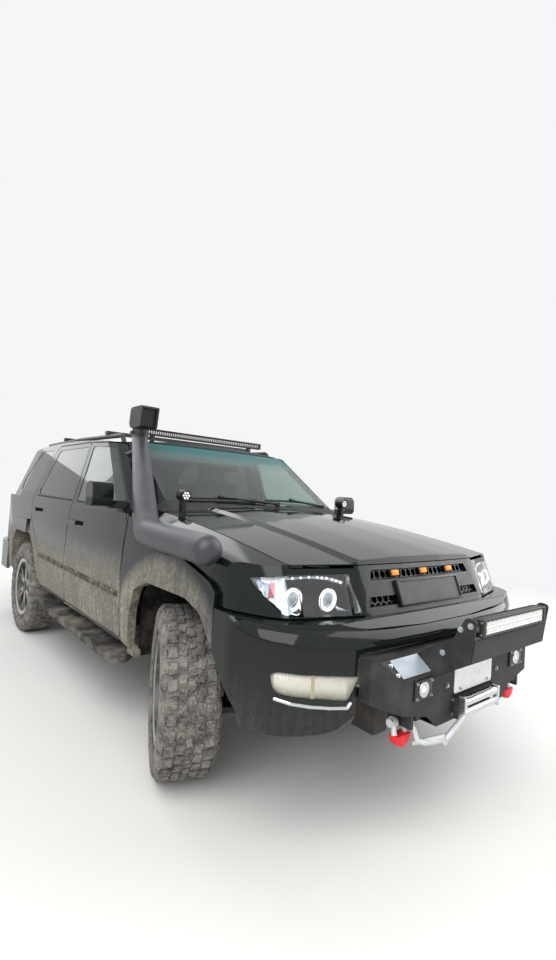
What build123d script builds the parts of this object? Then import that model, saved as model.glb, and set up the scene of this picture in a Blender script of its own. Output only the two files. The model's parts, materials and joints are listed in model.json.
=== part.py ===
from build123d import *
import math
import os

os.makedirs("parts", exist_ok=True)

# Lifted off-road 4x4 with five doors. X is the vehicle's left, Y points to its rear, Z is up.
# Everything is drawn from the middle of the front axle at ground level. save() then moves
# it so that the origin lies under the middle of the whole length.

# Running gear
wheelbase = 2790
wheel_x = 802            # middle of a tyre from the middle of the vehicle
tyre_radius = 395
tyre_width = 270
tread_width = 224
rim_radius = 250         # outer edge of the rim flange
bead_radius = 228
kingpin_x = 715          # steering axis of a front wheel
steer_rest = 22.4        # front wheels are parked turned to the vehicle's right
hub_bore = 55
hub_clearance = 0.3

# Body sides: half widths and heights of the barrel across the vehicle
floor_under_z = 575
floor_top_z = 600
sill_low = (862, 465)
sill_edge = (905, 507)
waist = (936, 790)
crease = (921, 1035)
belt = (903, 1205)
waist_round = 2000

# Front and rear of the lower body, in plan
nose_y = -832            # middle of the nose at height nose_z
nose_z = 900
nose_lean = 0.40         # how far the nose leans back per unit of height
clip_end = 620           # front clip and passenger body meet here
tail_y = 3885

# Hood crown: a wide arc turned about a far axis
hood_top_z = 1299
hood_top_y = 1350
hood_bend = 11500
hood_wall = 22
hood_rear = 428
hood_side = 762

# Cabin above the belt: plan outlines at two heights
cabin_low_z = 1180
cabin_high_z = 1760
roof_peak_z = 1752
roof_peak_y = 2250
roof_across = 5850
roof_along = 13500

# Walls and gaps
fender_wall = 30
side_wall = 60
pillar_wall = 45
glass_in = 4
glass_thick = 5
door_gap = 8
panel_gap = 6
seat_gap = 0.3
door_taper = 0.22

# Frame
rail_in = 370
rail_out = 450
rail_low = 440
rail_high = 560


def rounded(points):
    """Straight edges and corner arcs round a closed line of (position, corner radius)."""
    bends = []
    for (before, _), (here, r), (after, _) in zip(points[-1:] + points[:-1], points, points[1:] + points[:1]):
        back = (before - here).normalized()
        ahead = (after - here).normalized()
        half_turn = math.radians(back.get_angle(ahead)) / 2
        reach = r / math.tan(half_turn) if r else 0
        inward = (back + ahead).normalized() if r else Vector(0, 0)
        middle = here + inward * (r / math.sin(half_turn) - r) if r else here
        bends.append((here + back * reach, middle, here + ahead * reach, r))
    edges = []
    for (start, middle, end, r), following in zip(bends, bends[1:] + bends[:1]):
        if r:
            edges.append(Edge.make_three_point_arc(start, middle, end))
        if (following[0] - end).length > 1e-4:
            edges.append(Edge.make_line(end, following[0]))
    return edges


def outline(plane, corners):
    """Flat face in a plane, from corners of (across, up, corner radius)."""
    return Face(Wire(rounded([(Vector(a, b), r) for a, b, r in corners]))).moved(Location(plane))


def bent_bar(points, section):
    """A section carried along an open line of (x, y, z, bend radius)."""
    edges = rounded([(Vector(x, y, z), r) for x, y, z, r in points])
    path = Wire(edges[:-1])
    start = Plane(path @ 0, z_dir=path % 0)
    return sweep(start * section, path=path)


def prism(plane, corners, reach):
    """Solid that carries a flat outline along the vector reach."""
    return Solid.extrude(outline(plane, corners), Vector(*reach))


def side_prism(corners, x_from, x_to):
    """Outline of (y, z, radius) carried across the vehicle."""
    return prism(Plane.YZ.offset(x_from), corners, (x_to - x_from, 0, 0))


def front_prism(corners, y_from, y_to):
    """Outline of (x, z, radius) carried along the vehicle."""
    return prism(Plane.XZ.offset(-y_from), corners, (0, y_to - y_from, 0))


def plan_prism(corners, z_from, z_to):
    """Outline of (x, y, radius) carried upwards."""
    return prism(Plane.XY.offset(z_from), corners, (0, 0, z_to - z_from))


def block(x, y, z):
    """Box between low and high limits on each axis."""
    size = [pair[1] - pair[0] for pair in (x, y, z)]
    return Pos(x[0], y[0], z[0]) * Solid.make_box(*size)


def rod(start, end, radius):
    """Round bar between two points."""
    run = Vector(*end) - Vector(*start)
    return Solid.make_cylinder(radius, run.length, Plane(Vector(*start), z_dir=run))


def both_ways(corners):
    """Closes a half outline with its mirror image."""
    return corners + [(-a, b, r) for a, b, r in reversed(corners)]


def other_side(shape):
    """The same piece on the other side of the vehicle."""
    return mirror(shape, about=Plane.YZ)


def joined(*shapes):
    """Fuses shapes that touch and keeps the others as they are."""
    whole = Part()
    for shape in shapes:
        whole = whole + shape
    return whole


def cut(shape, *tools):
    """Takes the tools away from a shape's solids."""
    solids = list(shape.solids())
    for tool in tools:
        for knife in tool.solids():
            solids = [piece for solid in solids for piece in solid.cut(knife).solids()]
    return Compound(solids)


def common(shape, tool):
    """What a shape's solids share with the tool's."""
    pieces = []
    for solid in shape.solids():
        for other in tool.solids():
            shared = solid & other
            if shared:
                pieces += shared.solids()
    return Compound(pieces)


def skin_x(z):
    """Half width of the body's outer skin at a height."""
    line = [sill_edge, waist, crease, belt, (cabin_x(1640), 1640), (cabin_x(1760), 1760)]
    for (x0, z0), (x1, z1) in zip(line, line[1:]):
        if z <= z1:
            return x0 + (x1 - x0) * (z - z0) / (z1 - z0)
    return line[-1][0]


def cabin_x(z):
    """Half width of the cabin's side at a height."""
    return 904 - (z - cabin_low_z) * (904 - 741.6) / (cabin_high_z - cabin_low_z)


# Outer forms. Each takes an inset, so that walls come from the difference of two.

def barrel(inset, y_from, y_to, top):
    """Both body sides and the sills."""
    half = [
        (sill_low[0] - inset, sill_low[1] - 40, 0),
        (sill_low[0] - inset, sill_low[1], 0),
        (sill_edge[0] - inset, sill_edge[1], 30),
        (waist[0] - inset, waist[1], waist_round),
        (crease[0] - inset, crease[1], 60),
        (belt[0] - inset, belt[1], 0),
        (belt[0] - inset, top, 0),
    ]
    if top <= belt[1]:
        half = half[:-2] + [(belt[0] - inset, top, 0)]
    return front_prism(both_ways(half), y_from, y_to)


def nose(inset):
    """Nose that wraps round to the fenders and leans back."""
    half = [
        (1100, 2400, 0),
        (1100, -200 + inset, 0),
        (941 - inset, -200 + inset, 0),
        (912 - inset, -520 + inset, 300),
        (820 - inset, -722 + inset, 190),
        (470, nose_y + 14 + inset, 500),
        (150, nose_y + inset, 0),
    ]
    rise = 1000
    low = nose_z - 500
    start = Plane.XY.offset(low)
    back = nose_lean * (low - nose_z)
    corners = [(x, y + back, r) for x, y, r in both_ways(half)]
    return prism(start, corners, (0, nose_lean * rise, rise))


def hood_crown(inset):
    """Crowned top of hood and fenders, with the hood's raised middle."""
    half = [
        (1000, -950, 0),
        (1000, -420, 0),
        (908 - inset, -64 - inset, 75),
        (hood_side, -30 - inset, 0),
        (476, -14 - inset, 20),
        (430, 0 - inset, 20),
        (160, 10 - inset, 2000),
    ]
    face = outline(Plane((0, hood_top_y, hood_top_z), x_dir=(1, 0, 0), z_dir=(0, -1, 0)), both_ways(half))
    turn = Axis((0, hood_top_y, hood_top_z - hood_bend), (1, 0, 0))
    return Solid.revolve(face, 13, turn)


def tail(inset):
    """Rear corners and tail in plan."""
    half = [
        (1000, 400, 0),
        (1000, 3000, 0),
        (938 - inset, 3200, 800),
        (905 - inset, 3620, 420),
        (852 - inset, 3822 - inset, 110),
        (500, tail_y - 12 - inset, 700),
        (120, tail_y - inset, 0),
    ]
    return plan_prism(both_ways(half), 380, 1500)


def cabin_outline(z, inset):
    """Cabin in plan at a height: windscreen arc, pillars, sides and rear glass."""
    low = [(0, 291), (685, 381), (880, 560), (904, 720), (904, 3250), (882, 3570), (800, 3790), (0, 3865)]
    high = [(0, 1190), (659, 1252), (722, 1335), (741.6, 1440), (741.6, 3020), (722, 3290), (640, 3420), (0, 3490)]
    share = (z - cabin_low_z) / (cabin_high_z - cabin_low_z)
    front_in, side_in, rear_in = 1.8 * inset, 1.04 * inset, 1.2 * inset
    push = [(0, 1), (-0.4, 1), (-0.9, 0.6), (-1, 0), (-1, 0), (-1, -0.2), (-0.7, -1), (0, -1)]
    half = []
    for (x0, y0), (x1, y1), (px, py) in zip(low, high, push):
        depth = front_in if py > 0 else rear_in
        half.append((x0 + (x1 - x0) * share + px * side_in, y0 + (y1 - y0) * share + py * depth))
    front, *right, rear = half
    left = [(-x, y) for x, y in right]
    edges = [Edge.make_three_point_arc((*left[0], 0), (*front, 0), (*right[0], 0))]
    for a, b in zip(right, right[1:]):
        edges.append(Edge.make_line((*a, 0), (*b, 0)))
    edges.append(Edge.make_three_point_arc((*right[-1], 0), (*rear, 0), (*left[-1], 0)))
    for a, b in zip(reversed(left), list(reversed(left))[1:]):
        edges.append(Edge.make_line((*a, 0), (*b, 0)))
    return Face(Wire(edges)).moved(Pos(0, 0, z))


def roof_crown(inset):
    """Roof that curves across and along."""
    half_angle = 12
    top = roof_peak_z - inset
    drop = 900 * 900 / (2 * roof_across)
    edges = [
        Edge.make_three_point_arc((-900, -drop, 0), (0, 0, 0), (900, -drop, 0)),
        Edge.make_line((900, -drop, 0), (900, -900, 0)),
        Edge.make_line((900, -900, 0), (-900, -900, 0)),
        Edge.make_line((-900, -900, 0), (-900, -drop, 0)),
    ]
    turn = Axis((0, roof_peak_y, roof_peak_z - roof_along), (1, 0, 0))
    plane = Plane((0, roof_peak_y, top), x_dir=(1, 0, 0), z_dir=(0, -1, 0))
    face = Face(Wire(edges)).moved(Location(plane)).rotate(turn, -half_angle)
    return Solid.revolve(face, 2 * half_angle, turn)


def cabin(inset):
    """Cabin above the belt."""
    sections = [cabin_outline(z, inset) for z in (cabin_low_z, cabin_high_z)]
    return Solid.make_loft([s.outer_wire() for s in sections], ruled=True) & roof_crown(inset)


def save(name, shape):
    """Writes one node, moved to the common origin."""
    export_step(Part() + Pos(0, -origin_y, 0) * shape, f"parts/{name}.step")


# Openings in the body sides, as (y, z, corner radius) seen from the side

front_door_line = [
    (566, 512, 30), (566, 1150, 60), (640, 1262, 60), (1140, 1650, 90), (1660, 1672, 20),
    (1595, 1210, 60), (1590, 512, 30),
]
rear_door_line = [
    (1598, 512, 30), (1603, 1210, 60), (1668, 1672, 20), (2480, 1668, 120), (2700, 1230, 90),
    (2665, 1060, 120), (2395, 870, 200), (2290, 690, 120), (2120, 512, 40),
]
front_glass_line = [(735, 1235, 12), (735, 1290, 12), (1175, 1622, 60), (1590, 1640, 20), (1530, 1235, 25)]
rear_glass_line = [(1640, 1238, 25), (1700, 1640, 20), (2420, 1634, 70), (2610, 1245, 40)]
quarter_glass_line = [(2790, 1250, 40), (2600, 1640, 40), (2990, 1640, 60), (3330, 1370, 60), (3290, 1265, 50)]
front_arch = [
    (440, 300, 0), (438, 470, 0), (385, 709, 60), (328, 832, 60), (180, 886, 80), (-200, 886, 80),
    (-330, 850, 90), (-440, 720, 120), (-600, 545, 60), (-660, 300, 0),
]
front_flare_edge = [
    (470, 300, 0), (520, 640, 90), (486, 860, 90), (400, 985, 90), (182, 1046, 140), (-140, 1050, 140),
    (-400, 985, 160), (-560, 820, 160), (-744, 590, 60), (-800, 300, 0),
]
rear_arch_shift = wheelbase + 20
rear_arch = [
    (420, 300, 0), (430, 560, 60), (380, 780, 90), (250, 892, 100), (-190, 892, 100),
    (-330, 780, 120), (-420, 600, 60), (-575, 450, 60), (-610, 300, 0),
]
rear_flare_edge = [
    (560, 300, 0), (570, 620, 90), (500, 880, 120), (330, 1005, 140), (-170, 1015, 140),
    (-400, 880, 160), (-520, 700, 120), (-700, 500, 60), (-760, 300, 0),
]


def shifted(corners, by):
    """Side outline moved along the vehicle."""
    return [(y + by, z, r) for y, z, r in corners]


def grown(corners, amount, x_from, x_to):
    """Side outline grown all round, carried across the vehicle."""
    face = outline(Plane.YZ.offset(x_from), corners)
    face = offset(face, amount=amount, kind=Kind.INTERSECTION)
    return Solid.extrude(face.faces()[0], Vector(x_to - x_from, 0, 0))


# Body shells

dash_y = clip_end - 60
above_belt = block((-1100, 1100), (0, 4200), (belt[1], 1900))


def passenger_body(inset, floor, rear_end):
    """Lower body from the dash to the tail, with the cabin standing on its belt."""
    low = common(barrel(inset, dash_y - (10 if inset else 0), 4200, belt[1]), tail(inset))
    low = common(low, block((-1100, 1100), (0, rear_end), (floor, 1300)))
    return joined(low, common(cabin(inset * pillar_wall / side_wall), above_belt))


arches = [
    side_prism(front_arch, 500, 1100),
    side_prism(shifted(rear_arch, rear_arch_shift), 560, 1100),
]
arches += [other_side(arch) for arch in arches]
under_floor = block((-790, 790), (dash_y - 40, 3800), (300, floor_under_z))
passenger_shell = cut(passenger_body(0, sill_low[1], 4200), passenger_body(side_wall, floor_top_z, 3825), under_floor, *arches)

# Doors

door_table = (
    # name, outline, glass outline
    ("front", front_door_line, front_glass_line),
    ("rear", rear_door_line, rear_glass_line),
)
hinge_x = 940
door_from_x = 690
door_inner_x = 850       # the sill stays behind the foot of each door


def tapered(corners):
    """Door outline carried inwards on a slant, so that its rear shut face opens clear."""
    lead = [(y + door_taper * (hinge_x - skin_x(z)), z, r) for y, z, r in corners]
    reach = 500
    start = Plane.YZ.offset(hinge_x + 60)
    moved = [(y + door_taper * 60, z, r) for y, z, r in lead]
    return prism(start, moved, (-reach, -door_taper * reach, 0))


def door(corners, window):
    """Left door: skin and frame with its window cut."""
    body = common(passenger_shell, side_prism(corners, door_from_x, 1100))
    body = common(body, tapered(corners))
    sill = block((400, door_inner_x), (400, 2800), (400, floor_top_z + panel_gap))
    return cut(body, side_prism(window, door_from_x - 1, 1100), sill)


def door_hole(corners):
    """Opening in the body side for a left door, with the sill kept behind its foot."""
    sill = block((400, door_inner_x - panel_gap), (400, 2800), (400, floor_top_z))
    return cut(grown(corners, door_gap, door_from_x, 1100), sill)


def shrunk(face, amount):
    """Flat face made smaller all round."""
    return offset(face, amount=-amount, kind=Kind.INTERSECTION).faces()[0]


glass_band = cut(cabin(glass_in), cabin(glass_in + glass_thick))


def side_pane(window):
    """Left window glass, set into its frame."""
    face = shrunk(outline(Plane.YZ.offset(500), window), seat_gap)
    return common(glass_band, Solid.extrude(face, Vector(600, 0, 0)))


doors = {}
for door_name, corners, window in door_table:
    doors[door_name] = door(corners, window)

# Tailgate, hinged along the rear edge of the roof
gate_top = 3462
gate_half = 700
gate_low_z = 745
gate_line = both_ways([
    (gate_half - 20, gate_low_z, 40), (gate_half, 1150, 60), (gate_half - 110, 1700, 60), (gate_half - 110, 1900, 0),
])
gate_face = outline(Plane.XZ.offset(-gate_top), gate_line)
gate_zone = Solid.extrude(gate_face, Vector(0, 700, 0))
gate_hole_face = offset(gate_face, amount=panel_gap, kind=Kind.INTERSECTION).faces()[0]
gate_hole = Pos(0, -panel_gap, 0) * Solid.extrude(gate_hole_face, Vector(0, 700, 0))
gate_glass_line = both_ways([(600, 1235, 50), (520, 1630, 60)])
gate_glass_face = outline(Plane.XZ.offset(-gate_top - 20), gate_glass_line)
gate_hinge = block((300, 380), (gate_top - 22, gate_top - seat_gap), (1650, 1680))
tailgate = cut(common(passenger_shell, gate_zone), Solid.extrude(gate_glass_face, Vector(0, 700, 0)))
gate_glass = common(glass_band, Solid.extrude(shrunk(gate_glass_face, seat_gap), Vector(0, 700, 0)))

# Windscreen, between the pillars
screen_line = both_ways([(690, 1285, 30), (650, 1675, 50)])
screen_face = outline(Plane.XZ.offset(-200), screen_line)
windscreen = common(glass_band, Solid.extrude(shrunk(screen_face, seat_gap), Vector(0, 1100, 0)))

# Body sides, roof and floor are split from what is left of the shell
roof_edge_x = 640
roof_low_z = 1600
screen_hole = Solid.extrude(screen_face, Vector(0, 1100, 0))
body_rest = cut(passenger_shell, gate_hole, screen_hole)
roof = common(body_rest, block((-roof_edge_x, roof_edge_x), (900, 3700), (roof_low_z, 1900)))
roof = joined(roof, gate_hinge, other_side(gate_hinge))
floor_plate = common(body_rest, block((-790, 790), (dash_y, 3800), (floor_under_z, floor_top_z)))
side_zone = joined(
    block((roof_edge_x, 1100), (dash_y, 4200), (floor_top_z, 1900)),
    block((790, 1100), (dash_y, 4200), (400, floor_top_z)),
    block((560, roof_edge_x), (3440, 4200), (floor_top_z, roof_low_z)),
)
side_left = common(body_rest, side_zone)
for door_name, corners, window in door_table:
    side_left = cut(side_left, door_hole(corners))
side_left = cut(side_left, side_prism(quarter_glass_line, 500, 1100))
quarter_glass = side_pane(quarter_glass_line)
tail_panel = common(cut(body_rest, gate_hole), block((-790, 790), (3800.3, 4200), (425, gate_low_z - panel_gap)))
# Front clip: hood, fenders with their flares, and the panel round the grille

bumper_top = 893
clip_outer = common(common(barrel(0, -1100, dash_y - panel_gap, 1400), nose(0)), hood_crown(0))
clip_inner = common(common(barrel(fender_wall, -1100, dash_y, 1400), nose(fender_wall)), hood_crown(hood_wall))
clip_shell = cut(clip_outer, common(clip_inner, block((-1100, 1100), (-1100, dash_y), (300, 1400))))

lamp_turn = math.radians(40)
lamp_plane = Plane(
    (0, 0, 0), x_dir=(-math.cos(lamp_turn), -math.sin(lamp_turn), 0),
    z_dir=(-math.sin(lamp_turn), math.cos(lamp_turn), 0),
)
lamp_line = [
    (-342, 1072, 20), (-262, 985, 120), (-160, 905, 60), (0, bumper_top + 8, 60), (158, bumper_top + 8, 12),
    (112, 1010, 80), (45, 1200, 0), (-300, 1200, 0),
]
lamp_face = outline(lamp_plane.offset(-1400), lamp_line)
lamp_reach = Vector(-math.sin(lamp_turn), math.cos(lamp_turn), 0) * 900
lamp_top = 12            # how far the lamps stay below the underside of the hood
lamp_zone = common(Solid.extrude(shrunk(lamp_face, seat_gap), lamp_reach), hood_crown(hood_wall + lamp_top))
lamp_hole = common(Solid.extrude(lamp_face, lamp_reach), hood_crown(hood_wall + lamp_top - seat_gap))

grille_line = both_ways([(455, 904, 10), (448, 940, 20), (386, 1086, 30)])
grille_face = outline(Plane.XZ.offset(1000), grille_line)
grille_hole = Solid.extrude(grille_face, Vector(0, 500, 0))

hood_plan = both_ways([
    (hood_side, hood_rear, 20), (hood_side, -640, 0), (600, -1000, 0),
])
hood_zone = plan_prism(hood_plan, 1080, 1400)
hood_gap_zone = plan_prism([(x + math.copysign(panel_gap, x), y + (panel_gap if y > 0 else 0), r) for x, y, r in hood_plan], 1076, 1400)
hood_band = common(cut(clip_outer, clip_inner), block((-1100, 1100), (-1100, 600), (1000, 1400)))
lip_z = 1090
hood = cut(common(hood_band, hood_zone), lamp_hole, other_side(lamp_hole), front_prism([(-700, 900, 0), (700, 900, 0), (700, lip_z, 0), (-700, lip_z, 0)], -1100, -600))

clip_left = common(clip_shell, block((0, 1100), (-1100, 600), (300, 1400)))
fender_zone = side_prism([
    (dash_y - panel_gap, 300, 0), (dash_y - panel_gap, 1400, 0), (-1100, 1400, 0), (-1100, bumper_top + panel_gap, 0),
    (-434, bumper_top + panel_gap, 0), (-434, 300, 0),
], 465, 1100)
arch_left = side_prism(front_arch, 500, 1100)
fender_skin = cut(common(clip_left, fender_zone), hood_gap_zone, lamp_hole, arch_left, block((400, 790), (-300, 600), (300, 1100)), block((400, hood_side + panel_gap), (-300, 600), (1000, 1400)))
fender_tab = block((824 + seat_gap, 890), (dash_y - 18, dash_y - 8), (1100, 1150))
fender_skin = joined(fender_skin, fender_tab)
flare_proud = 16
flare_band = cut(
    common(barrel(-flare_proud, -1000, dash_y - panel_gap, 1300), side_prism(front_flare_edge, 700, 1100)),
    barrel(0, -1100, dash_y, 1300), side_prism(front_arch, 700, 1100),
)
flare_front = common(flare_band, block((700, 1100), (-434, dash_y - panel_gap), (440, 1300)))
front_panel = cut(
    common(clip_shell, block((-464, 464), (-1100, -600), (bumper_top + seat_gap, lip_z - 4))), grille_hole, lamp_hole, other_side(lamp_hole)
)
headlamp = common(common(cut(clip_outer, common(nose(115), clip_outer)), lamp_zone), block((0, 1100), (-1100, 0), (880, 1400)))

# Pillars behind the doors, and the hinges that reach from them to each door's front edge

hinge_pillar = joined(
    block((772, 834), (dash_y + 1, 640 - seat_gap), (floor_top_z, belt[1] - 2)),
    block((772, 834), (dash_y + 1, 590), (belt[1] - 20, belt[1] + 30)),
)
middle_pillar_line = [
    (772, floor_top_z, 0), (836, floor_top_z, 0), (836, 1190, 0), (684, 1630, 0), (684, 1668, 0), (650, 1668, 0),
    (650, 1600, 0), (772, 1190, 0),
]
middle_pillar = front_prism(middle_pillar_line, 1545, 1655)
hinge_table = (
    # front and rear face, outer end
    (556.3, 566 - seat_gap, 905),
    (1591, 1599.5 - seat_gap, 878),
)
hinges = [block((826, end), (a, b), (z, z + 50)) for a, b, end in hinge_table for z in (700, 1060)]
side_left = joined(side_left, hinge_pillar, middle_pillar, *hinges)

# Rear wheel tubs, rear lamps and the zone of the rear bumper are cut out of the body sides

bumper_rear_top = 735
bumper_rear_y = 3380
rear_arch_line = shifted(rear_arch, rear_arch_shift)
tub_wall = 10
tub_in = 550
tub_zone = block((0, 1100), (2000, 3400), (floor_top_z + seat_gap, 1100))
tub = common(grown(rear_arch_line, tub_wall, tub_in, 880), tub_zone)
tub = cut(tub, side_prism(rear_arch_line, tub_in + tub_wall, 1100))
rear_lamp_zone = block((708, 1100), (3690, 4200), (850, 1215))
rear_lamp_hole = block((708 - seat_gap, 1100), (3690 - seat_gap, 4200), (850 - seat_gap, 1215 + seat_gap))
rear_lamp = common(side_left, rear_lamp_zone)
bumper_rear_zone = block((0, 1100), (bumper_rear_y - panel_gap, 4200), (300, bumper_rear_top + panel_gap))
side_left = cut(side_left, rear_lamp_hole, bumper_rear_zone)
flare_rear_band = cut(
    common(barrel(-flare_proud, 1800, 3700, 1195), side_prism(shifted(rear_flare_edge, rear_arch_shift), 700, 1100)),
    barrel(0, 1700, 3800, 1205), side_prism(rear_arch_line, 700, 1100),
)
flare_rear = common(flare_rear_band, block((700, 1100), (2712, bumper_rear_y - panel_gap), (440, 1300)))

# Bumpers

front_bumper_plan = both_ways([
    (946, -300, 0), (943, -560, 160), (858, -775, 250), (560, -884, 500), (180, -906, 0),
])
front_bumper_side = [
    (-300, bumper_top, 0), (-850, bumper_top, 14), (-935, 835, 30), (-925, 640, 60), (-850, 492, 30), (-300, 492, 0),
]
cover_wall = 30


def front_cover(inset):
    """Front bumper form in plan and from the side."""
    plan = [(x - math.copysign(inset, x) if abs(x) > 300 else x, y + inset * (y < -310), r) for x, y, r in front_bumper_plan]
    side = [(y + inset, z, r) for y, z, r in front_bumper_side]
    return common(plan_prism(plan, 480, 900), side_prism(side, -1000, 1000))


fog_line = [(548, 690, 12), (872, 722, 20), (862, 640, 40), (596, 600, 20)]
fog_face = outline(Plane.XZ.offset(1100), fog_line)
fog_hole = Solid.extrude(fog_face, Vector(0, 700, 0))
bar_hole = front_prism(both_ways([(566, 480, 0), (566, 778, 30)]), -1200, -500)
bumper_mid = cut(front_cover(0), common(front_cover(cover_wall), block((-1000, 1000), (-1000, 0), (470, 870))))
half_bumper = cut(common(bumper_mid, block((0, 1100), (-1200, 0), (300, 900))), side_prism(front_arch, 500, 1100), fog_hole, block((0, 1100), (-434 - panel_gap, 0), (300, 1000)), bar_hole)
fog_lamp = common(cut(front_cover(6), front_cover(60)), Solid.extrude(shrunk(fog_face, seat_gap), Vector(0, 700, 0)))
rear_bumper_plan = both_ways([
    (940, bumper_rear_y, 0), (937, 3660, 200), (880, 3862, 150), (600, 3928, 400), (200, 3938, 0),
])
rear_inner_plan = both_ways([
    (910, bumper_rear_y - 20, 0), (907, 3650, 180), (852, 3830, 120), (590, 3892, 400), (200, 3900, 0),
])
rear_bumper = cut(plan_prism(rear_bumper_plan, 470, bumper_rear_top), plan_prism(rear_inner_plan, 400, 700))
rear_bumper = cut(rear_bumper, block((-860, 860), (3000, tail_y + seat_gap), (690, 760)))

# Winch bumper: folded plate box with a hoop that carries the light bar

bar_plan = both_ways([(556, -880, 0), (556, -935, 30), (500, -1037, 10)])
bar_inner_plan = both_ways([(548, -870, 0), (548, -938, 24), (496, -1029, 6)])
bar_side = [(-880, 490, 0), (-1037, 490, 6), (-1037, 712, 6), (-962, 765, 6), (-880, 765, 0)]
bar_inner_side = [(-870, 498, 0), (-1029, 498, 4), (-1029, 708, 4), (-959, 757, 4), (-870, 757, 0)]
bar_front = both_ways([(250, 480, 0), (330, 545, 20), (556, 600, 10), (600, 790, 0)])
bar_outer = common(common(plan_prism(bar_plan, 480, 790), side_prism(bar_side, -600, 600)), front_prism(bar_front, -1200, -800))
bar_inner = common(plan_prism(bar_inner_plan, 480, 790), side_prism(bar_inner_side, -600, 600))
hoop_x = 305
hoop_plate = 10
hoop_side = [
    (-948, 752, 0), (-1036, 692, 0), (-1186, 788, 12), (-1208, 948, 14), (-1166, 954, 20), (-1118, 862, 40),
    (-1010, 800, 40),
]
hoop_front = [(-1184, 788, 0), (-1190, 786, 0), (-1200, 872, 0), (-1194, 872, 0)]
hoop_under = [(-1030, 694, 0), (-1036, 690, 0), (-1188, 785, 0), (-1184, 791, 0)]
winch_bar = cut(bar_outer, bar_inner, front_prism([(-112, 505, 8), (112, 505, 8), (112, 585, 8), (-112, 585, 8)], -1200, -1000))
plate_notch = block((-158, 158), (-1046, -1030), (690, 756))
winch_bar = joined(
    winch_bar, block((375, 405), (-1033, -876), (545, 580)), block((-405, -375), (-1033, -876), (545, 580)),
    side_prism(hoop_side, hoop_x, hoop_x + hoop_plate), side_prism(hoop_side, -hoop_x - hoop_plate, -hoop_x),
    side_prism(hoop_front, -hoop_x, hoop_x), cut(side_prism(hoop_under, -hoop_x, hoop_x), plate_notch),
    block((417, 433), (-1033, -925), (518, 612)), block((-433, -417), (-1033, -925), (518, 612)),
)

# Cowl behind the hood, with the dash wall below it

cowl_zone = block((-1000, 1000), (200, dash_y), (belt[1], 1400))
cowl_skin = common(cut(passenger_body(0, sill_low[1], 4200), passenger_body(side_wall, floor_top_z, 3825)), cowl_zone)
fender_form = common(common(barrel(-panel_gap, 0, 620, 1400), hood_crown(-panel_gap)), block((hood_side, 1100), (0, 620), (1100, 1400)))
cowl = cut(
    cut(cowl_skin, screen_hole), fender_form, other_side(fender_form),
    block((-hood_side, hood_side), (0, hood_rear + panel_gap), (1100, 1400)),
)
dash_side = 824
hood_hinge = common(block((560, 600), (385, hood_rear + 12), (1195, 1300)), hood_crown(hood_wall + seat_gap))
cowl = joined(
    cowl,
    block((-756, 756), (hood_rear + panel_gap, dash_y - 1), (belt[1], belt[1] + 20)),
    block((-756, 756), (dash_y - 21, dash_y - 1), (floor_under_z, belt[1] + 10)),
    block((-dash_side, dash_side), (dash_y - 21, dash_y - 1), (floor_under_z, 1170)),
    block((-700, 700), (dash_y - 21, dash_y - seat_gap), (floor_under_z, floor_top_z)),
    hood_hinge, other_side(hood_hinge),
)

# Cargo floor, one step higher than the cabin floor

cargo_y = 2680
cargo_z = 720
cargo_floor = joined(
    block((-540, 540), (cargo_y, 3795), (cargo_z - 20, cargo_z)),
    block((-540, 540), (cargo_y, cargo_y + 20), (floor_top_z, cargo_z)),
)

# Frame: two rails that kick up over the rear axle, and crossmembers

rail_side = [
    (-876, rail_low, 0), (2350, rail_low, 200), (2520, 540, 200), (3080, 540, 200), (3240, 470, 200), (3790, 470, 0),
    (3790, 568, 0), (3250, 568, 0), (2350, 568, 0), (2330, rail_high, 0), (-876, rail_high, 0),
]
rail = side_prism(rail_side, rail_in, rail_out)
cross_table = (
    # start along the vehicle, end, underside, top
    (-200, -120, rail_low, 520),
    (130, 200, rail_low, 520),
    (1080, 1160, 470, 540),
    (1900, 1960, 470, 540),
    (2260, 2330, 470, 540),
    (3560, 3640, 490, 560),
)
crossmembers = [block((-rail_in, rail_in), (a, b), (low, high)) for a, b, low, high in cross_table]
cheek_in = 300
cheek_out = 345
cheek = block((cheek_in, cheek_out), (-210, 210), (255, rail_low))
arm_mount = block((386, 434), (2200, 2260), (350, rail_low))
body_mounts = [block((385, 435), (y, y + 60), (550, floor_under_z - seat_gap)) for y in (640, 1500, 3300, 3690)]
rail = joined(rail, *body_mounts)
frame = joined(rail, other_side(rail), *crossmembers, cheek, other_side(cheek), arm_mount, other_side(arm_mount))

# Engine with gearbox as plain blocks, radiator, exhaust and fuel tank

engine = joined(
    block((-240, 240), (-420, 180), (520 + seat_gap, 960)),
    block((-170, 170), (180, 530), (525, 900)),
    block((-120, 120), (530, 1040), (420, 568)),
)
radiator = block((-400, 400), (-700, -640), (rail_high + seat_gap, 870 - seat_gap))
exhaust_line = [
    (-150 - 20.3, 330, 560, 0), (-300, 330, 560, 50), (-300, 400, 400, 50), (-300, 2380, 400, 60), (-300, 2560, 490, 60),
    (-300, 3000, 490, 80), (-560, 3240, 432, 80), (-600, 3780, 432, 0),
]
exhaust = joined(bent_bar(exhaust_line, RegularPolygon(26, 8)), rod((-300, 1200, 400), (-300, 1750, 400), 68))
fuel_tank = block((60, 360), (1250, 1950), (335, 470 - seat_gap))

# Front suspension: lower arms, coil-over struts, drive shafts and the differential between the cheeks

arm_low = 262
arm_top = 290
knuckle_low = 300
pin_radius = 12
pin_top = 330


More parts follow.
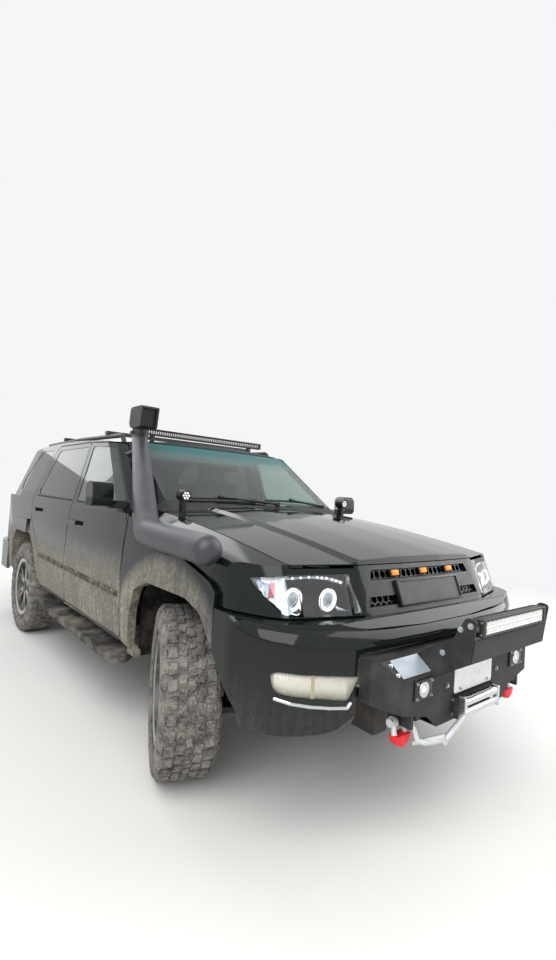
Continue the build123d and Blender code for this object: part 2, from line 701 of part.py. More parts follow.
def front_arm():
    """Left lower arm with its ball pin and coil-over strut."""
    plan = [
        (cheek_out + seat_gap, -190, 0), (cheek_out + seat_gap, 190, 0), (690, 42, 30), (745, 0, 24), (690, -42, 30),
    ]
    arm = cut(plan_prism(plan, arm_low, arm_top), plan_prism([(390, -110, 20), (390, 30, 20), (570, 0, 10)], 200, 400))
    pin = rod((kingpin_x, 0, arm_low), (kingpin_x, 0, pin_top), pin_radius)
    strut = rod((510, 76, arm_top - 5), (500, 76, 700), 24)
    coil = rod((505, 76, 430), (500, 76, 880), 44)
    return joined(arm, pin, strut, coil)


def front_shaft():
    """Left drive shaft with its outer boot."""
    shaft = rod((cheek_out + seat_gap, 0, tyre_radius), (600, 0, tyre_radius), 20)
    return joined(shaft, rod((585, 0, tyre_radius), (642, 0, tyre_radius), 38))


differential = joined(
    rod((-cheek_in + seat_gap, 0, tyre_radius), (cheek_in - seat_gap, 0, tyre_radius), 40),
    rod((-110, 0, tyre_radius), (110, 0, tyre_radius), 90),
)
front_suspension = joined(
    front_arm(), other_side(front_arm()), front_shaft(), other_side(front_shaft()), differential,
)

# Wheels, drawn about their own centre with the outboard side towards +X


def tyre():
    """Tyre body with bulged side walls and square shoulders."""
    half_width = tyre_width / 2
    half_tread = tread_width / 2
    bead = bead_radius + seat_gap
    half = [(104, bead, 0), (104, rim_radius + 1, 0), (half_width, 310, 0), (half_width - 5, 368, 0), (half_tread, tyre_radius, 0)]
    line = [(-x, r, bend) for x, r, bend in half] + half[::-1]
    return Solid.revolve(outline(Plane.XY, line), 360, Axis.X)


spoke_pairs = 6
spoke_spread = 8
hub_face = 42            # where the wheel sits on the hub, outboard of the tyre's middle


def rim():
    """Alloy rim: barrel, hub disc and paired spokes."""
    barrel_line = [
        (-115, rim_radius, 0), (-106, rim_radius, 0), (-106, bead_radius, 0), (0, 204, 0), (106, bead_radius, 0),
        (106, rim_radius, 0), (117, rim_radius, 0), (112, 218, 0), (0, 192, 0), (-112, 218, 0),
    ]
    hub_line = [(hub_face, hub_bore, 0), (hub_face, 92, 0), (64, 92, 0), (88, 60, 0), (88, 0, 0), (74, 0, 0), (74, hub_bore, 0)]
    whole = joined(*[Solid.revolve(outline(Plane.XY, line), 360, Axis.X) for line in (barrel_line, hub_line)])
    for pair in range(spoke_pairs):
        for side in (-1, 1):
            turn = pair * 360 / spoke_pairs + side * spoke_spread
            spoke = side_prism([(-11, 60, 0), (11, 60, 0), (9, 216, 0), (-9, 216, 0)], 62, 92)
            whole = whole + Rot(turn, 0, 0) * spoke
    return whole


def steered(shape, side):
    """Turns a front wheel piece about its kingpin to the parked angle."""
    pivot = Pos(side * kingpin_x, 0, 0)
    return pivot * Rot(0, 0, -steer_rest) * Pos(-side * kingpin_x, 0, 0) * shape


def at_wheel(shape, side, y):
    """Moves a wheel piece to its axle end, outboard side out."""
    placed = Pos(side * wheel_x, y, tyre_radius) * Rot(0, 0, 0 if side > 0 else 180) * shape
    return steered(placed, side) if y == 0 else placed


def hub(y):
    """Left hub at an axle end: pilot, flange and brake disc."""
    z = tyre_radius
    return joined(
        rod((wheel_x + 20, y, z), (wheel_x + 60, y, z), hub_bore - hub_clearance),
        rod((wheel_x + 10, y, z), (wheel_x + hub_face - seat_gap, y, z), 74),
        rod((wheel_x - 22, y, z), (wheel_x + 10, y, z), 150),
    )


def knuckle():
    """Left front upright with its hub, straight ahead."""
    spindle = rod((kingpin_x - 20, 0, tyre_radius), (wheel_x + 20, 0, tyre_radius), 56)
    upright = block((kingpin_x - 26, kingpin_x + 26), (-34, 34), (knuckle_low, tyre_radius + 150))
    pin_hole = rod((kingpin_x, 0, 0), (kingpin_x, 0, pin_top + 4), pin_radius + hub_clearance)
    return cut(joined(hub(0), spindle, upright), pin_hole)


# Rear axle: tube, housing, hubs, coil springs and trailing arms

spring_x = 410
half_axle = joined(
    rod((0, wheelbase, tyre_radius), (wheel_x + 12, wheelbase, tyre_radius), 42),
    hub(wheelbase),
    rod((spring_x, wheelbase + 20, tyre_radius + 20), (spring_x, wheelbase + 20, 540 - seat_gap), 50),
    block((spring_x - 24, spring_x + 24), (2260 + seat_gap, wheelbase), (360, 400)),
)
rear_axle = joined(
    half_axle, other_side(half_axle),
    rod((-110, wheelbase, tyre_radius), (110, wheelbase, tyre_radius), 118),
    rod((0, 1041.2, 444), (0, wheelbase - 100, tyre_radius), 25),
)

# Wheelhouse liners in front

liner_wall = 4
liner_line = [(-480, 420, 0), (-480, 760, 150), (-330, 925, 150), (330, 925, 150), (480, 760, 150), (480, 420, 0)]
liner_in = 424


def wheel_liner():
    """Left front wheelhouse liner with its inner wall above the frame."""
    inner_line = [(y - math.copysign(liner_wall, y), z - (liner_wall if r else 0), max(r - liner_wall, 0)) for y, z, r in liner_line]
    form = side_prism(liner_line, liner_in, 828)
    room = side_prism(inner_line, liner_in + liner_wall, 900)
    rail_room = block((300, rail_out + seat_gap), (-900, 900), (400, rail_high + seat_gap))
    shell = cut(form, room, rail_room)
    return cut(shell, rod((500, 76, 400), (500, 76, 1000), 52))


# Interior seen through the glass

dashboard = side_prism([
    (640, 800, 0), (640, 1130, 60), (760, 1165, 60), (890, 1090, 40), (905, 960, 40), (820, 800, 30),
], -800, 800)
steering_place = Pos(370, 1000, 1085) * Rot(90 - 25, 0, 0)
spoke_turns = (0, 180, 270)
grip_line = [(178 + 15 * math.cos(math.radians(t)), 15 * math.sin(math.radians(t)), 0) for t in range(0, 360, 60)]
steering_rim = Solid.revolve(outline(Plane.XZ, grip_line), 360, Axis.Z)
steering_wheel = joined(
    steering_place * steering_rim,
    steering_place * Pos(0, 0, -20) * Solid.make_cylinder(62, 40),
    *[steering_place * Rot(0, 0, t) * Pos(40, -14, -8) * Solid.make_box(132, 28, 16) for t in spoke_turns],
    cut(rod((370, 880, 1030), (370, 995, 1083), 24), dashboard),
)
seat_x = 370
seat_half = 250


def front_seat():
    """Left front seat: base, cushion, back and headrest."""
    base = block((seat_x - 170, seat_x + 170), (1180, 1560), (floor_top_z + seat_gap, 760))
    cushion = block((seat_x - seat_half, seat_x + seat_half), (1120, 1600), (760, 900))
    back_line = [(1560, 900, 0), (1700, 900, 30), (1790, 1440, 50), (1680, 1440, 50)]
    rest_line = [(1700, 1440, 0), (1780, 1440, 0), (1800, 1600, 40), (1710, 1600, 40)]
    back = side_prism(back_line, seat_x - seat_half, seat_x + seat_half)
    rest = side_prism(rest_line, seat_x - 130, seat_x + 130)
    return joined(base, cushion, back, rest)


rear_seat = joined(
    block((-540, 540), (2060, 2600), (floor_top_z + seat_gap, 906)),
    block((-640, 640), (2060, 2360), (720, 906)),
    side_prism([(2470, 906, 0), (2600, 906, 0), (2660, 1420, 50), (2560, 1420, 50)], -640, 640),
)

# Snorkel: duct along the right fender, upright ahead of the pillar, and ram head

duct_radius = 64
duct_round = 56
neck_radius = 50
duct_front = (-975, -460, 1120)
elbow = (-968, 170, 1135)
neck = (-690, 975, 1679)
lean = (Vector(*neck) - Vector(*elbow)).normalized()
upright_foot = Vector(*elbow) + lean * 120
duct = bent_bar([(*duct_front, 0), (*elbow, 110), (*upright_foot, 0)], Circle(duct_radius))
duct = fillet(duct.edges().sort_by(Axis.Y)[0], duct_round)
rise = Vector(*neck) - upright_foot
upright = Solid.make_cone(duct_radius, neck_radius, rise.length, Plane(upright_foot, z_dir=lean))
collar = rod(neck, (neck[0], neck[1], 1750), 52)
head_line = [(852, 1742, 12), (1026, 1742, 40), (1010, 1879, 30), (832, 1879, 12)]
snorkel_head = side_prism(head_line, neck[0] - 60, neck[0] + 60)
head_mouth = side_prism([(800, 1758, 0), (866, 1758, 0), (850, 1863, 0), (800, 1863, 0)], neck[0] - 46, neck[0] + 46)
snorkel_stay = cut(rod((-726, 900, 1600), (-740, 1140, 1560), 12), cabin(-seat_gap))
fender_form = common(barrel(-seat_gap, -900, 640, 1400), hood_crown(-seat_gap))
snorkel = cut(joined(duct, upright, collar, cut(snorkel_head, head_mouth), snorkel_stay), fender_form)

# Side steps on brackets from the frame

step_plan = [
    (802, 604, 20), (946, 455, 60), (952, 800, 0), (952, 1900, 300), (914, 2225, 60), (830, 2330, 30), (802, 2330, 0),
]
step_low = 372
step_top = 412
side_step = joined(
    plan_prism(step_plan, step_low, step_top),
    *[block((rail_out + seat_gap, 806), (y, y + 60), (step_top - 22, 460)) for y in (760, 1400, 2040)],
)

# Roof rails with crossbars, and the lamp bar at the front of the roof

roof_form = cabin(-seat_gap)
rail_line = [
    (660, 1290, 1655, 0), (660, 1345, 1724, 40), (660, 2250, 1735, 900), (660, 3190, 1721, 40), (660, 3270, 1640, 0),
]
roof_rail = cut(bent_bar(rail_line, RegularPolygon(17, 8)), roof_form)
crossbar_z = 1760
crossbar_half = 13
roof_rails = [roof_rail, other_side(roof_rail)]
for y in (1640, 2700):
    bar_z = (crossbar_z - crossbar_half, crossbar_z + crossbar_half)
    roof_rails.append(block((-672, 672), (y - 25, y + 25), bar_z))
    roof_rails += [block((x - 10, x + 10), (y - 10, y + 10), (1725, crossbar_z)) for x in (-660, 660)]
roof_rails = joined(*roof_rails)
lamp_foot = cut(block((430, 460), (1300, 1335), (1650, 1750)), roof_form)
roof_light_bar = joined(block((-560, 560), (1290, 1345), (1748, 1796)), lamp_foot, other_side(lamp_foot))

# Door mirrors and handles

mirror_shell = side_prism([(640, 1240, 36), (750, 1236, 36), (762, 1370, 44), (650, 1385, 44)], 965, 1085)
mirror_arm = block((872, 975), (665, 725), (1228, 1272))
handle_table = {
    # rear end of the handle, height, length
    "front": (1550, 1087, 190),
    "rear": (2620, 1115, 190),
}


def handle(door_name):
    """Left door handle, held on by both ends."""
    y, z, length = handle_table[door_name]
    grip = block((924, 944), (y - length, y), (z - 14, z + 14))
    feet = [block((890, 930), (a, a + 24), (z - 14, z + 14)) for a in (y - length, y - 24)]
    return joined(grip, *feet)


# Lights, winch and other fittings

light_bar = joined(
    block((-270, 270), (-1213, -1160), (880, 947)),
    rod((-hoop_x + seat_gap, -1184, 912), (hoop_x - seat_gap, -1184, 912), 10),
)
fairlead = cut(
    block((-150, 150), (-1056, -1037 - seat_gap), (500, 590)), block((-95, 95), (-1100, -1000), (518, 572)),
)
winch_feet = [block((x, x + 40), (-1000, -900), (498 + seat_gap, 600)) for x in (-230, 190)]
winch = joined(rod((-260, -958, 628), (260, -958, 628), 56), *winch_feet, fairlead)
shackle_ring = cut(rod((412, -968, 500), (438, -968, 500), 46), rod((400, -968, 500), (450, -968, 500), 28))
shackle = joined(cut(shackle_ring, block((400, 450), (-1100, -800), (500, 620))), *[
    block((x, x + 8), (-1014, -922), (498, 560)) for x in (408.7, 433.3)
])
number_plate = block((-152, 152), (-1040, -1037 - seat_gap), (597, 749))
ditch_lamp = joined(rod((657, 360, 1326), (657, 425, 1326), 32), block((645, 669), (375, 415), (1190, 1300)))
ditch_lamp = cut(ditch_lamp, hood_crown(-seat_gap))

# Grille: frame, wide bar and honeycomb

cell = 36                # pitch of the honeycomb
cell_wall = 6
grille_depth = 34
mesh_in = 16
grille_front = shrunk(grille_face, seat_gap)
grille_back = shrunk(grille_face, 20)
grille_band = common(cut(clip_outer, nose(grille_depth)), Solid.extrude(grille_front, Vector(0, 500, 0)))
grille_ring = cut(grille_band, Solid.extrude(grille_back, Vector(0, 600, 0)))
mesh_slab = common(cut(common(clip_outer, nose(mesh_in)), nose(mesh_in + 5)), Solid.extrude(grille_back, Vector(0, 500, 0)))
grille_bar = common(grille_band, block((-500, 500), (-1000, -600), (962, 1026)))


def honeycomb():
    """Prisms that pierce the mesh, in staggered rows."""
    cells = []
    for row in range(5):
        z = 918 + row * cell * 0.866
        shift = cell / 2 if row % 2 else 0
        for place in range(-12, 13):
            hexagon = RegularPolygon((cell - cell_wall) / 2, 6, major_radius=False, rotation=30)
            cells.append(Pos(place * cell + shift, -1000, z) * Rot(-90, 0, 0) * Solid.extrude(hexagon.face(), Vector(0, 0, 500)))
    return Compound(cells)


grille = joined(grille_ring, grille_bar, cut(mesh_slab, honeycomb()))

# Overall length puts the common origin under the middle of the vehicle

overall_front = -1213
overall_rear = 3938
origin_y = (overall_front + overall_rear) / 2

for side, name in ((1, "left"), (-1, "right")):
    body_side = joined(side_left, tub, flare_rear)
    fender = joined(fender_skin, flare_front)
    front_door = joined(doors["front"], mirror_arm, mirror_shell, handle("front"))
    rear_door = joined(doors["rear"], handle("rear"))
    upright = knuckle()
    if side < 0:
        body_side, fender, front_door, rear_door, upright = [
            other_side(shape) for shape in (body_side, fender, front_door, rear_door, upright)
        ]
    save(f"side_{name}", body_side)
    save(f"fender_{name}", fender)
    save(f"door_front_{name}", front_door)
    save(f"door_rear_{name}", rear_door)
    for door_name, corners, window in door_table:
        pane = side_pane(window)
        save(f"glass_{door_name}_{name}", pane if side > 0 else other_side(pane))
    save(f"knuckle_{name}", steered(upright, side))
    for axle, y in (("front", 0), ("rear", wheelbase)):
        save(f"tyre_{axle}_{name}", at_wheel(tyre(), side, y))
        save(f"rim_{axle}_{name}", at_wheel(rim(), side, y))
for name, shape in (("headlamps", headlamp), ("front_bumper", half_bumper), ("fog_lamps", fog_lamp),
                    ("quarter_glass", quarter_glass), ("tail_lamps", rear_lamp), ("side_steps", side_step),
                    ("front_seats", front_seat()), ("wheel_liners", wheel_liner()), ("shackles", shackle),
                    ("ditch_lights", ditch_lamp)):
    save(name, joined(shape, other_side(shape)))
for name, shape in (("frame", frame), ("cowl", cowl), ("roof", roof), ("hood", hood), ("front_panel", front_panel),
                    ("grille", grille), ("winch_bumper", winch_bar), ("winch", winch), ("number_plate", number_plate),
                    ("light_bar", light_bar), ("windscreen", windscreen), ("rear_bumper", rear_bumper),
                    ("roof_rails", roof_rails), ("roof_light_bar", roof_light_bar), ("snorkel", snorkel),
                    ("engine", engine), ("radiator", radiator), ("exhaust", exhaust), ("fuel_tank", fuel_tank),
                    ("front_suspension", front_suspension), ("rear_axle", rear_axle), ("dashboard", dashboard),
                    ("steering_wheel", steering_wheel), ("rear_seat", rear_seat), ("tailgate", tailgate),
                    ("tailgate_glass", gate_glass)):
    save(name, shape)
save("floor", joined(floor_plate, cargo_floor, tail_panel))
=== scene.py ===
import json
import math

import bmesh
import bpy
from mathutils import Matrix, Vector
from mathutils.bvhtree import BVHTree


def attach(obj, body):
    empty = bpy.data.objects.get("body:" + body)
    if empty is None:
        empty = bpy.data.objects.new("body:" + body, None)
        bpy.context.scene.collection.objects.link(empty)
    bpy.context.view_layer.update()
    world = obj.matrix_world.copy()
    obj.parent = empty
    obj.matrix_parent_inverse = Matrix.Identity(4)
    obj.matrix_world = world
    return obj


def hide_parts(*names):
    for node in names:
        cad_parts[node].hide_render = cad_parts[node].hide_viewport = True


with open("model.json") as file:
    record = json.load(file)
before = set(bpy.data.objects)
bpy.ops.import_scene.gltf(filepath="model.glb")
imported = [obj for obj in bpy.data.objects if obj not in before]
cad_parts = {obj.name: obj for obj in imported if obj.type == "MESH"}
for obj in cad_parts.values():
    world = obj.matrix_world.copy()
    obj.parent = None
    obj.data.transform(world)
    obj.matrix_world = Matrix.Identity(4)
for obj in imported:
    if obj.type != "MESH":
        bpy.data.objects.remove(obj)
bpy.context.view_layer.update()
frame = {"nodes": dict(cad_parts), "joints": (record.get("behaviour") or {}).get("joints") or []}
nodes = frame["nodes"]

# The ground and the light: a pale studio floor that fades into an even white sky, one broad lamp
# high over the right front corner and weaker ones at the left and behind, as on a bright overcast
# day. The camera stands at the photograph's viewing angle.


def linear(hex_colour):
    """An sRGB colour such as 1a2b3c as linear red, green, blue and alpha."""
    parts = [int(hex_colour[i:i + 2], 16) / 255 for i in (0, 2, 4)]
    return [c / 12.92 if c <= 0.04045 else ((c + 0.055) / 1.055) ** 2.4 for c in parts] + [1]


def wire(node, inputs):
    """Sets inputs, by place or by name, to values, outputs, or the first output in use of a node."""
    for socket, value in inputs.items() if isinstance(inputs, dict) else enumerate(inputs):
        if isinstance(value, bpy.types.Node):
            value = next(output for output in value.outputs if output.enabled)
        if isinstance(value, bpy.types.NodeSocket):
            node.id_data.links.new(value, node.inputs[socket])
        else:
            node.inputs[socket].default_value = value


def add_node(tree, kind, inputs=(), ramp=(), **settings):
    """One shader node with its settings and inputs. ramp holds the stops of a colour ramp."""
    node = tree.nodes.new("ShaderNode" + kind)
    for key, value in settings.items():
        setattr(node, key, value)
    for count, (position, colour) in enumerate(ramp):
        stops = node.color_ramp.elements
        stop = stops[count] if count < 2 else stops.new(position)
        stop.position, stop.color = position, linear(colour)
    wire(node, inputs)
    return node


def new_material(name, colour, **sockets):
    """A material with its tree, its principled surface and its object coordinates."""
    material = bpy.data.materials.new(name)
    material.use_nodes = True
    tree = material.node_tree
    surface = tree.nodes["Principled BSDF"]
    wire(surface, {"Base Color": linear(colour)})
    wire(surface, {socket.replace("_", " "): value for socket, value in sockets.items()})
    return material, tree, surface, add_node(tree, "TexCoord").outputs["Object"]


def viewed(tree):
    """1 for rays that the camera, gloss or glass sends out, so that they show the white backdrop."""
    path = add_node(tree, "LightPath").outputs
    seen = path["Is Camera Ray"]
    for ray in ("Is Glossy Ray", "Is Transmission Ray"):
        seen = add_node(tree, "Math", [seen, path[ray]], operation="MAXIMUM")
    return seen


backdrop = linear("f4f6f7")
fade_from, fade_to = 3.6, 8.5
studio_floor, tree, surface, place = new_material("studio_floor", "e4e1dc", Roughness=0.9)
grain = add_node(tree, "TexNoise", {"Vector": place, "Scale": 90, "Detail": 4})
wire(surface, {"Normal": add_node(tree, "Bump", {"Height": grain, "Strength": 0.05})})
away = add_node(tree, "VectorMath", [place], operation="LENGTH")
far = add_node(tree, "MapRange", [away, fade_from, fade_to], interpolation_type="SMOOTHSTEP")
fade = add_node(tree, "Math", [far, viewed(tree)], operation="MULTIPLY")
haze = add_node(tree, "Emission", [backdrop, 1])
wire(tree.nodes["Material Output"], [add_node(tree, "MixShader", [fade, surface, haze])])
bm = bmesh.new()
bmesh.ops.create_circle(bm, cap_ends=True, segments=96, radius=60)
floor_mesh = bpy.data.meshes.new("ground")
bm.to_mesh(floor_mesh)
bm.free()
floor_mesh.materials.append(studio_floor)
ground = bpy.data.objects.new("ground", floor_mesh)
bpy.context.scene.collection.objects.link(ground)

world = bpy.data.worlds.new("overcast_sky")
bpy.context.scene.world = world
world.use_nodes = True
sky = world.node_tree
sky.nodes.clear()
shade = add_node(sky, "Background", [linear("dfe7ee"), 0.72])
shown = add_node(sky, "Background", [backdrop, 1])
add_node(sky, "OutputWorld", [add_node(sky, "MixShader", [viewed(sky), shade, shown])])

lamp_table = (
    # name, place, aim, side length, watts
    ("sky_lamp_right", (-5.5, -5.0, 7.0), (0, 0, 0.6), 8.5, 860),
    ("sky_lamp_left", (6.0, -4.0, 5.0), (0, 0, 0.8), 7.5, 400),
    ("sky_lamp_rear", (0.0, 7.0, 6.0), (0, 0, 0.8), 7.5, 280),
)
for name, spot, aim, side, watts in lamp_table:
    light = bpy.data.lights.new(name, "AREA")
    light.size = side
    light.energy = watts
    lamp = bpy.data.objects.new(name, light)
    lamp.location = spot
    lamp.rotation_euler = (Vector(aim) - Vector(spot)).to_track_quat("-Z", "Y").to_euler()
    bpy.context.scene.collection.objects.link(lamp)

camera_data = bpy.data.cameras.new("camera")
camera_data.sensor_fit = "VERTICAL"
camera_data.sensor_height = 36
camera_data.lens = 18.37
camera_data.clip_end = 200
camera = bpy.data.objects.new("camera", camera_data)
right = Vector((0.76806, -0.63744, 0.06137))
up = Vector((-0.06719, 0.01509, 0.99763))
back = Vector((-0.63684, -0.77036, -0.03124))
turn = Matrix((right, up, back)).transposed().to_4x4()
camera.matrix_world = Matrix.Translation((-2.032, -3.4695, 1.360)) @ turn
bpy.context.scene.collection.objects.link(camera)
bpy.context.scene.camera = camera
bpy.context.scene.view_settings.view_transform = "Standard"

# Body shell: pressed steel panels in near-black green paint, a faint flake under glossy lacquer.
# Pale road dust covers it from the door crease down and round the front arches, washed into
# streaks by rain. The faces that look into the cabin have its pale cloth lining.

body_colour = "0b100f"
wheel_centre_z = 0.395
front_axle_y = -1.3625
flare_inner, flare_outer = 0.6, 0.665


def paint(name, top, low, most, arch=None):
    """Lacquered paint with road dust: none above top, full below low, and most of it there. With
    arch, a wheel's place along the vehicle, the dust lies on the flare round that wheel."""
    material, tree, surface, place = new_material(name, body_colour, IOR=1.36)
    flake = add_node(tree, "TexVoronoi", {"Vector": place, "Scale": 900})
    tint = add_node(tree, "ValToRGB", [flake], ramp=((0, "141d1b"), (1, body_colour)))
    split = add_node(tree, "SeparateXYZ", [place]).outputs
    if arch:
        hub = add_node(tree, "VectorMath", [place, (0, arch, wheel_centre_z)], operation="SUBTRACT")
        flat = add_node(tree, "VectorMath", [hub, (0, 1, 1)], operation="MULTIPLY")
        from_hub = add_node(tree, "VectorMath", [flat], operation="LENGTH")
        height = add_node(tree, "MapRange", [from_hub, flare_inner, flare_outer, 1, 0])
    else:
        height = add_node(tree, "MapRange", [split["Z"], low, top, 1, 0], interpolation_type="SMOOTHSTEP")
    behind = add_node(tree, "MapRange", [split["Y"], -1.9, -0.9, 0.35, 1])
    clouds = add_node(tree, "TexNoise", {"Vector": place, "Scale": 5, "Detail": 7, "Roughness": 0.62})
    patch = add_node(tree, "MapRange", [clouds, 0.3, 0.62, 0.45, 1.1])
    runs = add_node(tree, "Mapping", {0: place, 3: (38, 38, 1.6)})
    streak = add_node(tree, "TexNoise", {"Vector": runs, "Scale": 1, "Detail": 3})
    wiped = add_node(tree, "MapRange", [streak, 0.36, 0.6, 0.62, 1])
    settled = add_node(tree, "Math", [height, behind], operation="MULTIPLY")
    left_on = add_node(tree, "Math", [patch, wiped], operation="MULTIPLY")
    dust = add_node(tree, "Math", [settled, left_on], operation="MULTIPLY")
    cover = add_node(tree, "Math", [dust, most], operation="MULTIPLY", use_clamp=True)
    fine = add_node(tree, "TexNoise", {"Vector": place, "Scale": 60, "Detail": 5})
    tone = add_node(tree, "ValToRGB", [fine], ramp=((0.3, "6d675e"), (0.7, "a39c90")))
    colour = add_node(tree, "Mix", {0: cover, 6: tint, 7: tone}, data_type="RGBA")
    rough = add_node(tree, "Mix", {0: cover, 2: 0.07, 3: 0.85})
    ripple = add_node(tree, "TexNoise", {"Vector": place, "Scale": 420, "Detail": 1})
    peel = add_node(tree, "Bump", {"Height": ripple, "Strength": 0.015, "Distance": 0.001})
    wire(surface, {"Base Color": colour, "Roughness": rough, "Normal": peel})
    return material


def lined(material):
    """Adds the cloth lining to a painted panel's faces that look into the cabin, and the black
    plastic cups of the door mirrors."""
    tree = material.node_tree
    surface = tree.nodes["Principled BSDF"]
    where = add_node(tree, "TexCoord").outputs
    spot = add_node(tree, "SeparateXYZ", [where["Object"]]).outputs
    way = add_node(tree, "SeparateXYZ", [where["Normal"]]).outputs
    inwards = add_node(tree, "Math", [spot["X"], way["X"]], operation="MULTIPLY")
    side_on = add_node(tree, "Math", [inwards, -0.3], operation="LESS_THAN")
    above = add_node(tree, "Math", [spot["Z"], 0.62], operation="GREATER_THAN")
    side_in = add_node(tree, "Math", [side_on, above], operation="MULTIPLY")
    down = add_node(tree, "Math", [way["Z"], -0.3], operation="LESS_THAN")
    high = add_node(tree, "Math", [spot["Z"], 1.3], operation="GREATER_THAN")
    under_roof = add_node(tree, "Math", [down, high], operation="MULTIPLY")
    inside = add_node(tree, "Math", [side_in, under_roof], operation="MAXIMUM")
    nap = add_node(tree, "TexNoise", {"Vector": where["Object"], "Scale": 700, "Detail": 2})
    cloth = add_node(tree, "ValToRGB", [nap], ramp=((0, "8b867d"), (1, "b3ada2")))
    colour = surface.inputs["Base Color"].links[0].from_socket
    rough = surface.inputs["Roughness"].links[0].from_socket
    out = add_node(tree, "Math", [spot["X"]], operation="ABSOLUTE")
    mirror = add_node(tree, "Math", [out, 0.958], operation="GREATER_THAN")
    foot = add_node(tree, "Math", [spot["Z"], 1.287], operation="LESS_THAN")
    cup = add_node(tree, "Math", [mirror, foot], operation="MULTIPLY")
    for part, finish, gloss in ((cup, linear("141518"), 0.5), (inside, cloth, 0.9)):
        colour = add_node(tree, "Mix", {0: part, 6: colour, 7: finish}, data_type="RGBA")
        rough = add_node(tree, "Mix", {0: part, 2: rough, 3: gloss})
    wire(surface, {"Base Color": colour, "Roughness": rough})
    return material


def give(material, *names):
    """Puts one material on whole nodes of the frame."""
    for name in names:
        nodes[name].data.materials.clear()
        nodes[name].data.materials.append(material)


sides = ("left", "right")
axles = ("front", "rear")
doors = [f"door_{axle}_{side}" for axle in axles for side in sides]
hood_paint = paint("lacquered_paint_hood", 1.3, 0.0, 0.12)
give(lined(paint("lacquered_paint", 1.04, 0.74, 1.0)), *doors, "side_left", "side_right", "tailgate")
give(paint("lacquered_paint_dusty", 0.98, 0.7, 0.95, arch=front_axle_y), "fender_left", "fender_right")
give(lined(paint("lacquered_paint_clean", 1.3, 0.0, 0.12)), "roof")
give(hood_paint, "hood", "front_panel")
give(paint("lacquered_paint_splashed", 0.8, 0.35, 0.42), "front_bumper", "rear_bumper")

# Windows: 5 mm safety glass under a thin film of dust. The windscreen has a teal shade band along
# its top, the front doors clear green-tinted glass, and all behind them dark privacy glass.

band_low, band_high = 1.54, 1.63


def glazing(name, tint):
    """Tinted clear glass, its gloss broken a little where dust lies."""
    material, tree, surface, place = new_material(name, tint, IOR=1.45, Transmission_Weight=1)
    film = add_node(tree, "TexNoise", {"Vector": place, "Scale": 9, "Detail": 6})
    wire(surface, {"Roughness": add_node(tree, "MapRange", [film, 0.45, 0.8, 0.0, 0.09])})
    return material, tree, surface, place


give(glazing("green_tinted_glass", "9fb3aa")[0], "glass_front_left", "glass_front_right")
privacy_glass = glazing("privacy_glass", "3d4643")[0]
give(privacy_glass, "glass_rear_left", "glass_rear_right", "quarter_glass", "tailgate_glass")
screen_glass, tree, surface, place = glazing("windscreen_glass", "b9cbc6")
height = add_node(tree, "SeparateXYZ", [place]).outputs["Z"]
band = add_node(tree, "MapRange", [height, band_low, band_high])
shaded = add_node(tree, "Mix", {0: band, 6: linear("c3d3cf"), 7: linear("138a8a")}, data_type="RGBA")
passed = add_node(tree, "MapRange", {0: band, 3: 1.0, 4: 0.7})
wire(surface, {"Base Color": shaded, "Transmission Weight": passed})
give(screen_glass, "windscreen")

# Chassis and running gear: welded box rails, axle, springs and knuckles in black chassis paint
# dulled by brown road film, iron that shows rust, a cast alloy block for engine and gearbox, and
# an exhaust with straw and brown heat stains.


def grimy(name, clean, dirt, rough, metallic=0.0, scale=14, amount=0.6, bump=0.25):
    """A finish with cloudy dirt, dull where that lies, and a grained surface."""
    material, tree, surface, place = new_material(name, clean, Metallic=metallic)
    clouds = add_node(tree, "TexNoise", {"Vector": place, "Scale": scale, "Detail": 8, "Roughness": 0.65})
    cover = add_node(tree, "MapRange", [clouds, 0.42, 0.68, 0, amount])
    colour = add_node(tree, "Mix", {0: cover, 6: linear(clean), 7: linear(dirt)}, data_type="RGBA")
    dull = add_node(tree, "Mix", {0: cover, 2: rough, 3: 0.92})
    grains = add_node(tree, "TexNoise", {"Vector": place, "Scale": 260, "Detail": 4})
    relief = add_node(tree, "Bump", {"Height": grains, "Strength": bump, "Distance": 0.001})
    wire(surface, {"Base Color": colour, "Roughness": dull, "Normal": relief})
    if metallic:
        wire(surface, {"Metallic": add_node(tree, "Mix", {0: cover, 2: metallic, 3: 0.0})})
    return material


cast_iron = grimy("cast_iron", "2b2a29", "5b4a3c", 0.7, metallic=0.6)
give(cast_iron, "knuckle_left", "knuckle_right")
give(grimy("painted_chassis_steel", "131313", "574a3d", 0.5), "frame", "front_suspension", "rear_axle")
give(grimy("cast_aluminium", "8a8a88", "4d473f", 0.55, metallic=0.9), "engine", "radiator")
give(grimy("rubberised_underseal", "191919", "6a6156", 0.85), "floor")
give(grimy("black_cowl_plastic", "121314", "4d4a45", 0.5, amount=0.35), "cowl")
give(grimy("pressed_felt_liner", "101010", "5d564c", 0.95), "wheel_liners")
give(grimy("stained_exhaust_steel", "9a9186", "5a4032", 0.45, metallic=1.0, scale=9), "exhaust")
give(grimy("moulded_tank_polyethylene", "161616", "5d564c", 0.6), "fuel_tank")

# Tyres: all-terrain rubber, moulded with five staggered rows of tread blocks, shoulder lugs that
# wrap on to the side walls, and a raised rim protector. Pale dust lies on the blocks and the side
# walls, and the rubber shows dark where they have rubbed clean.

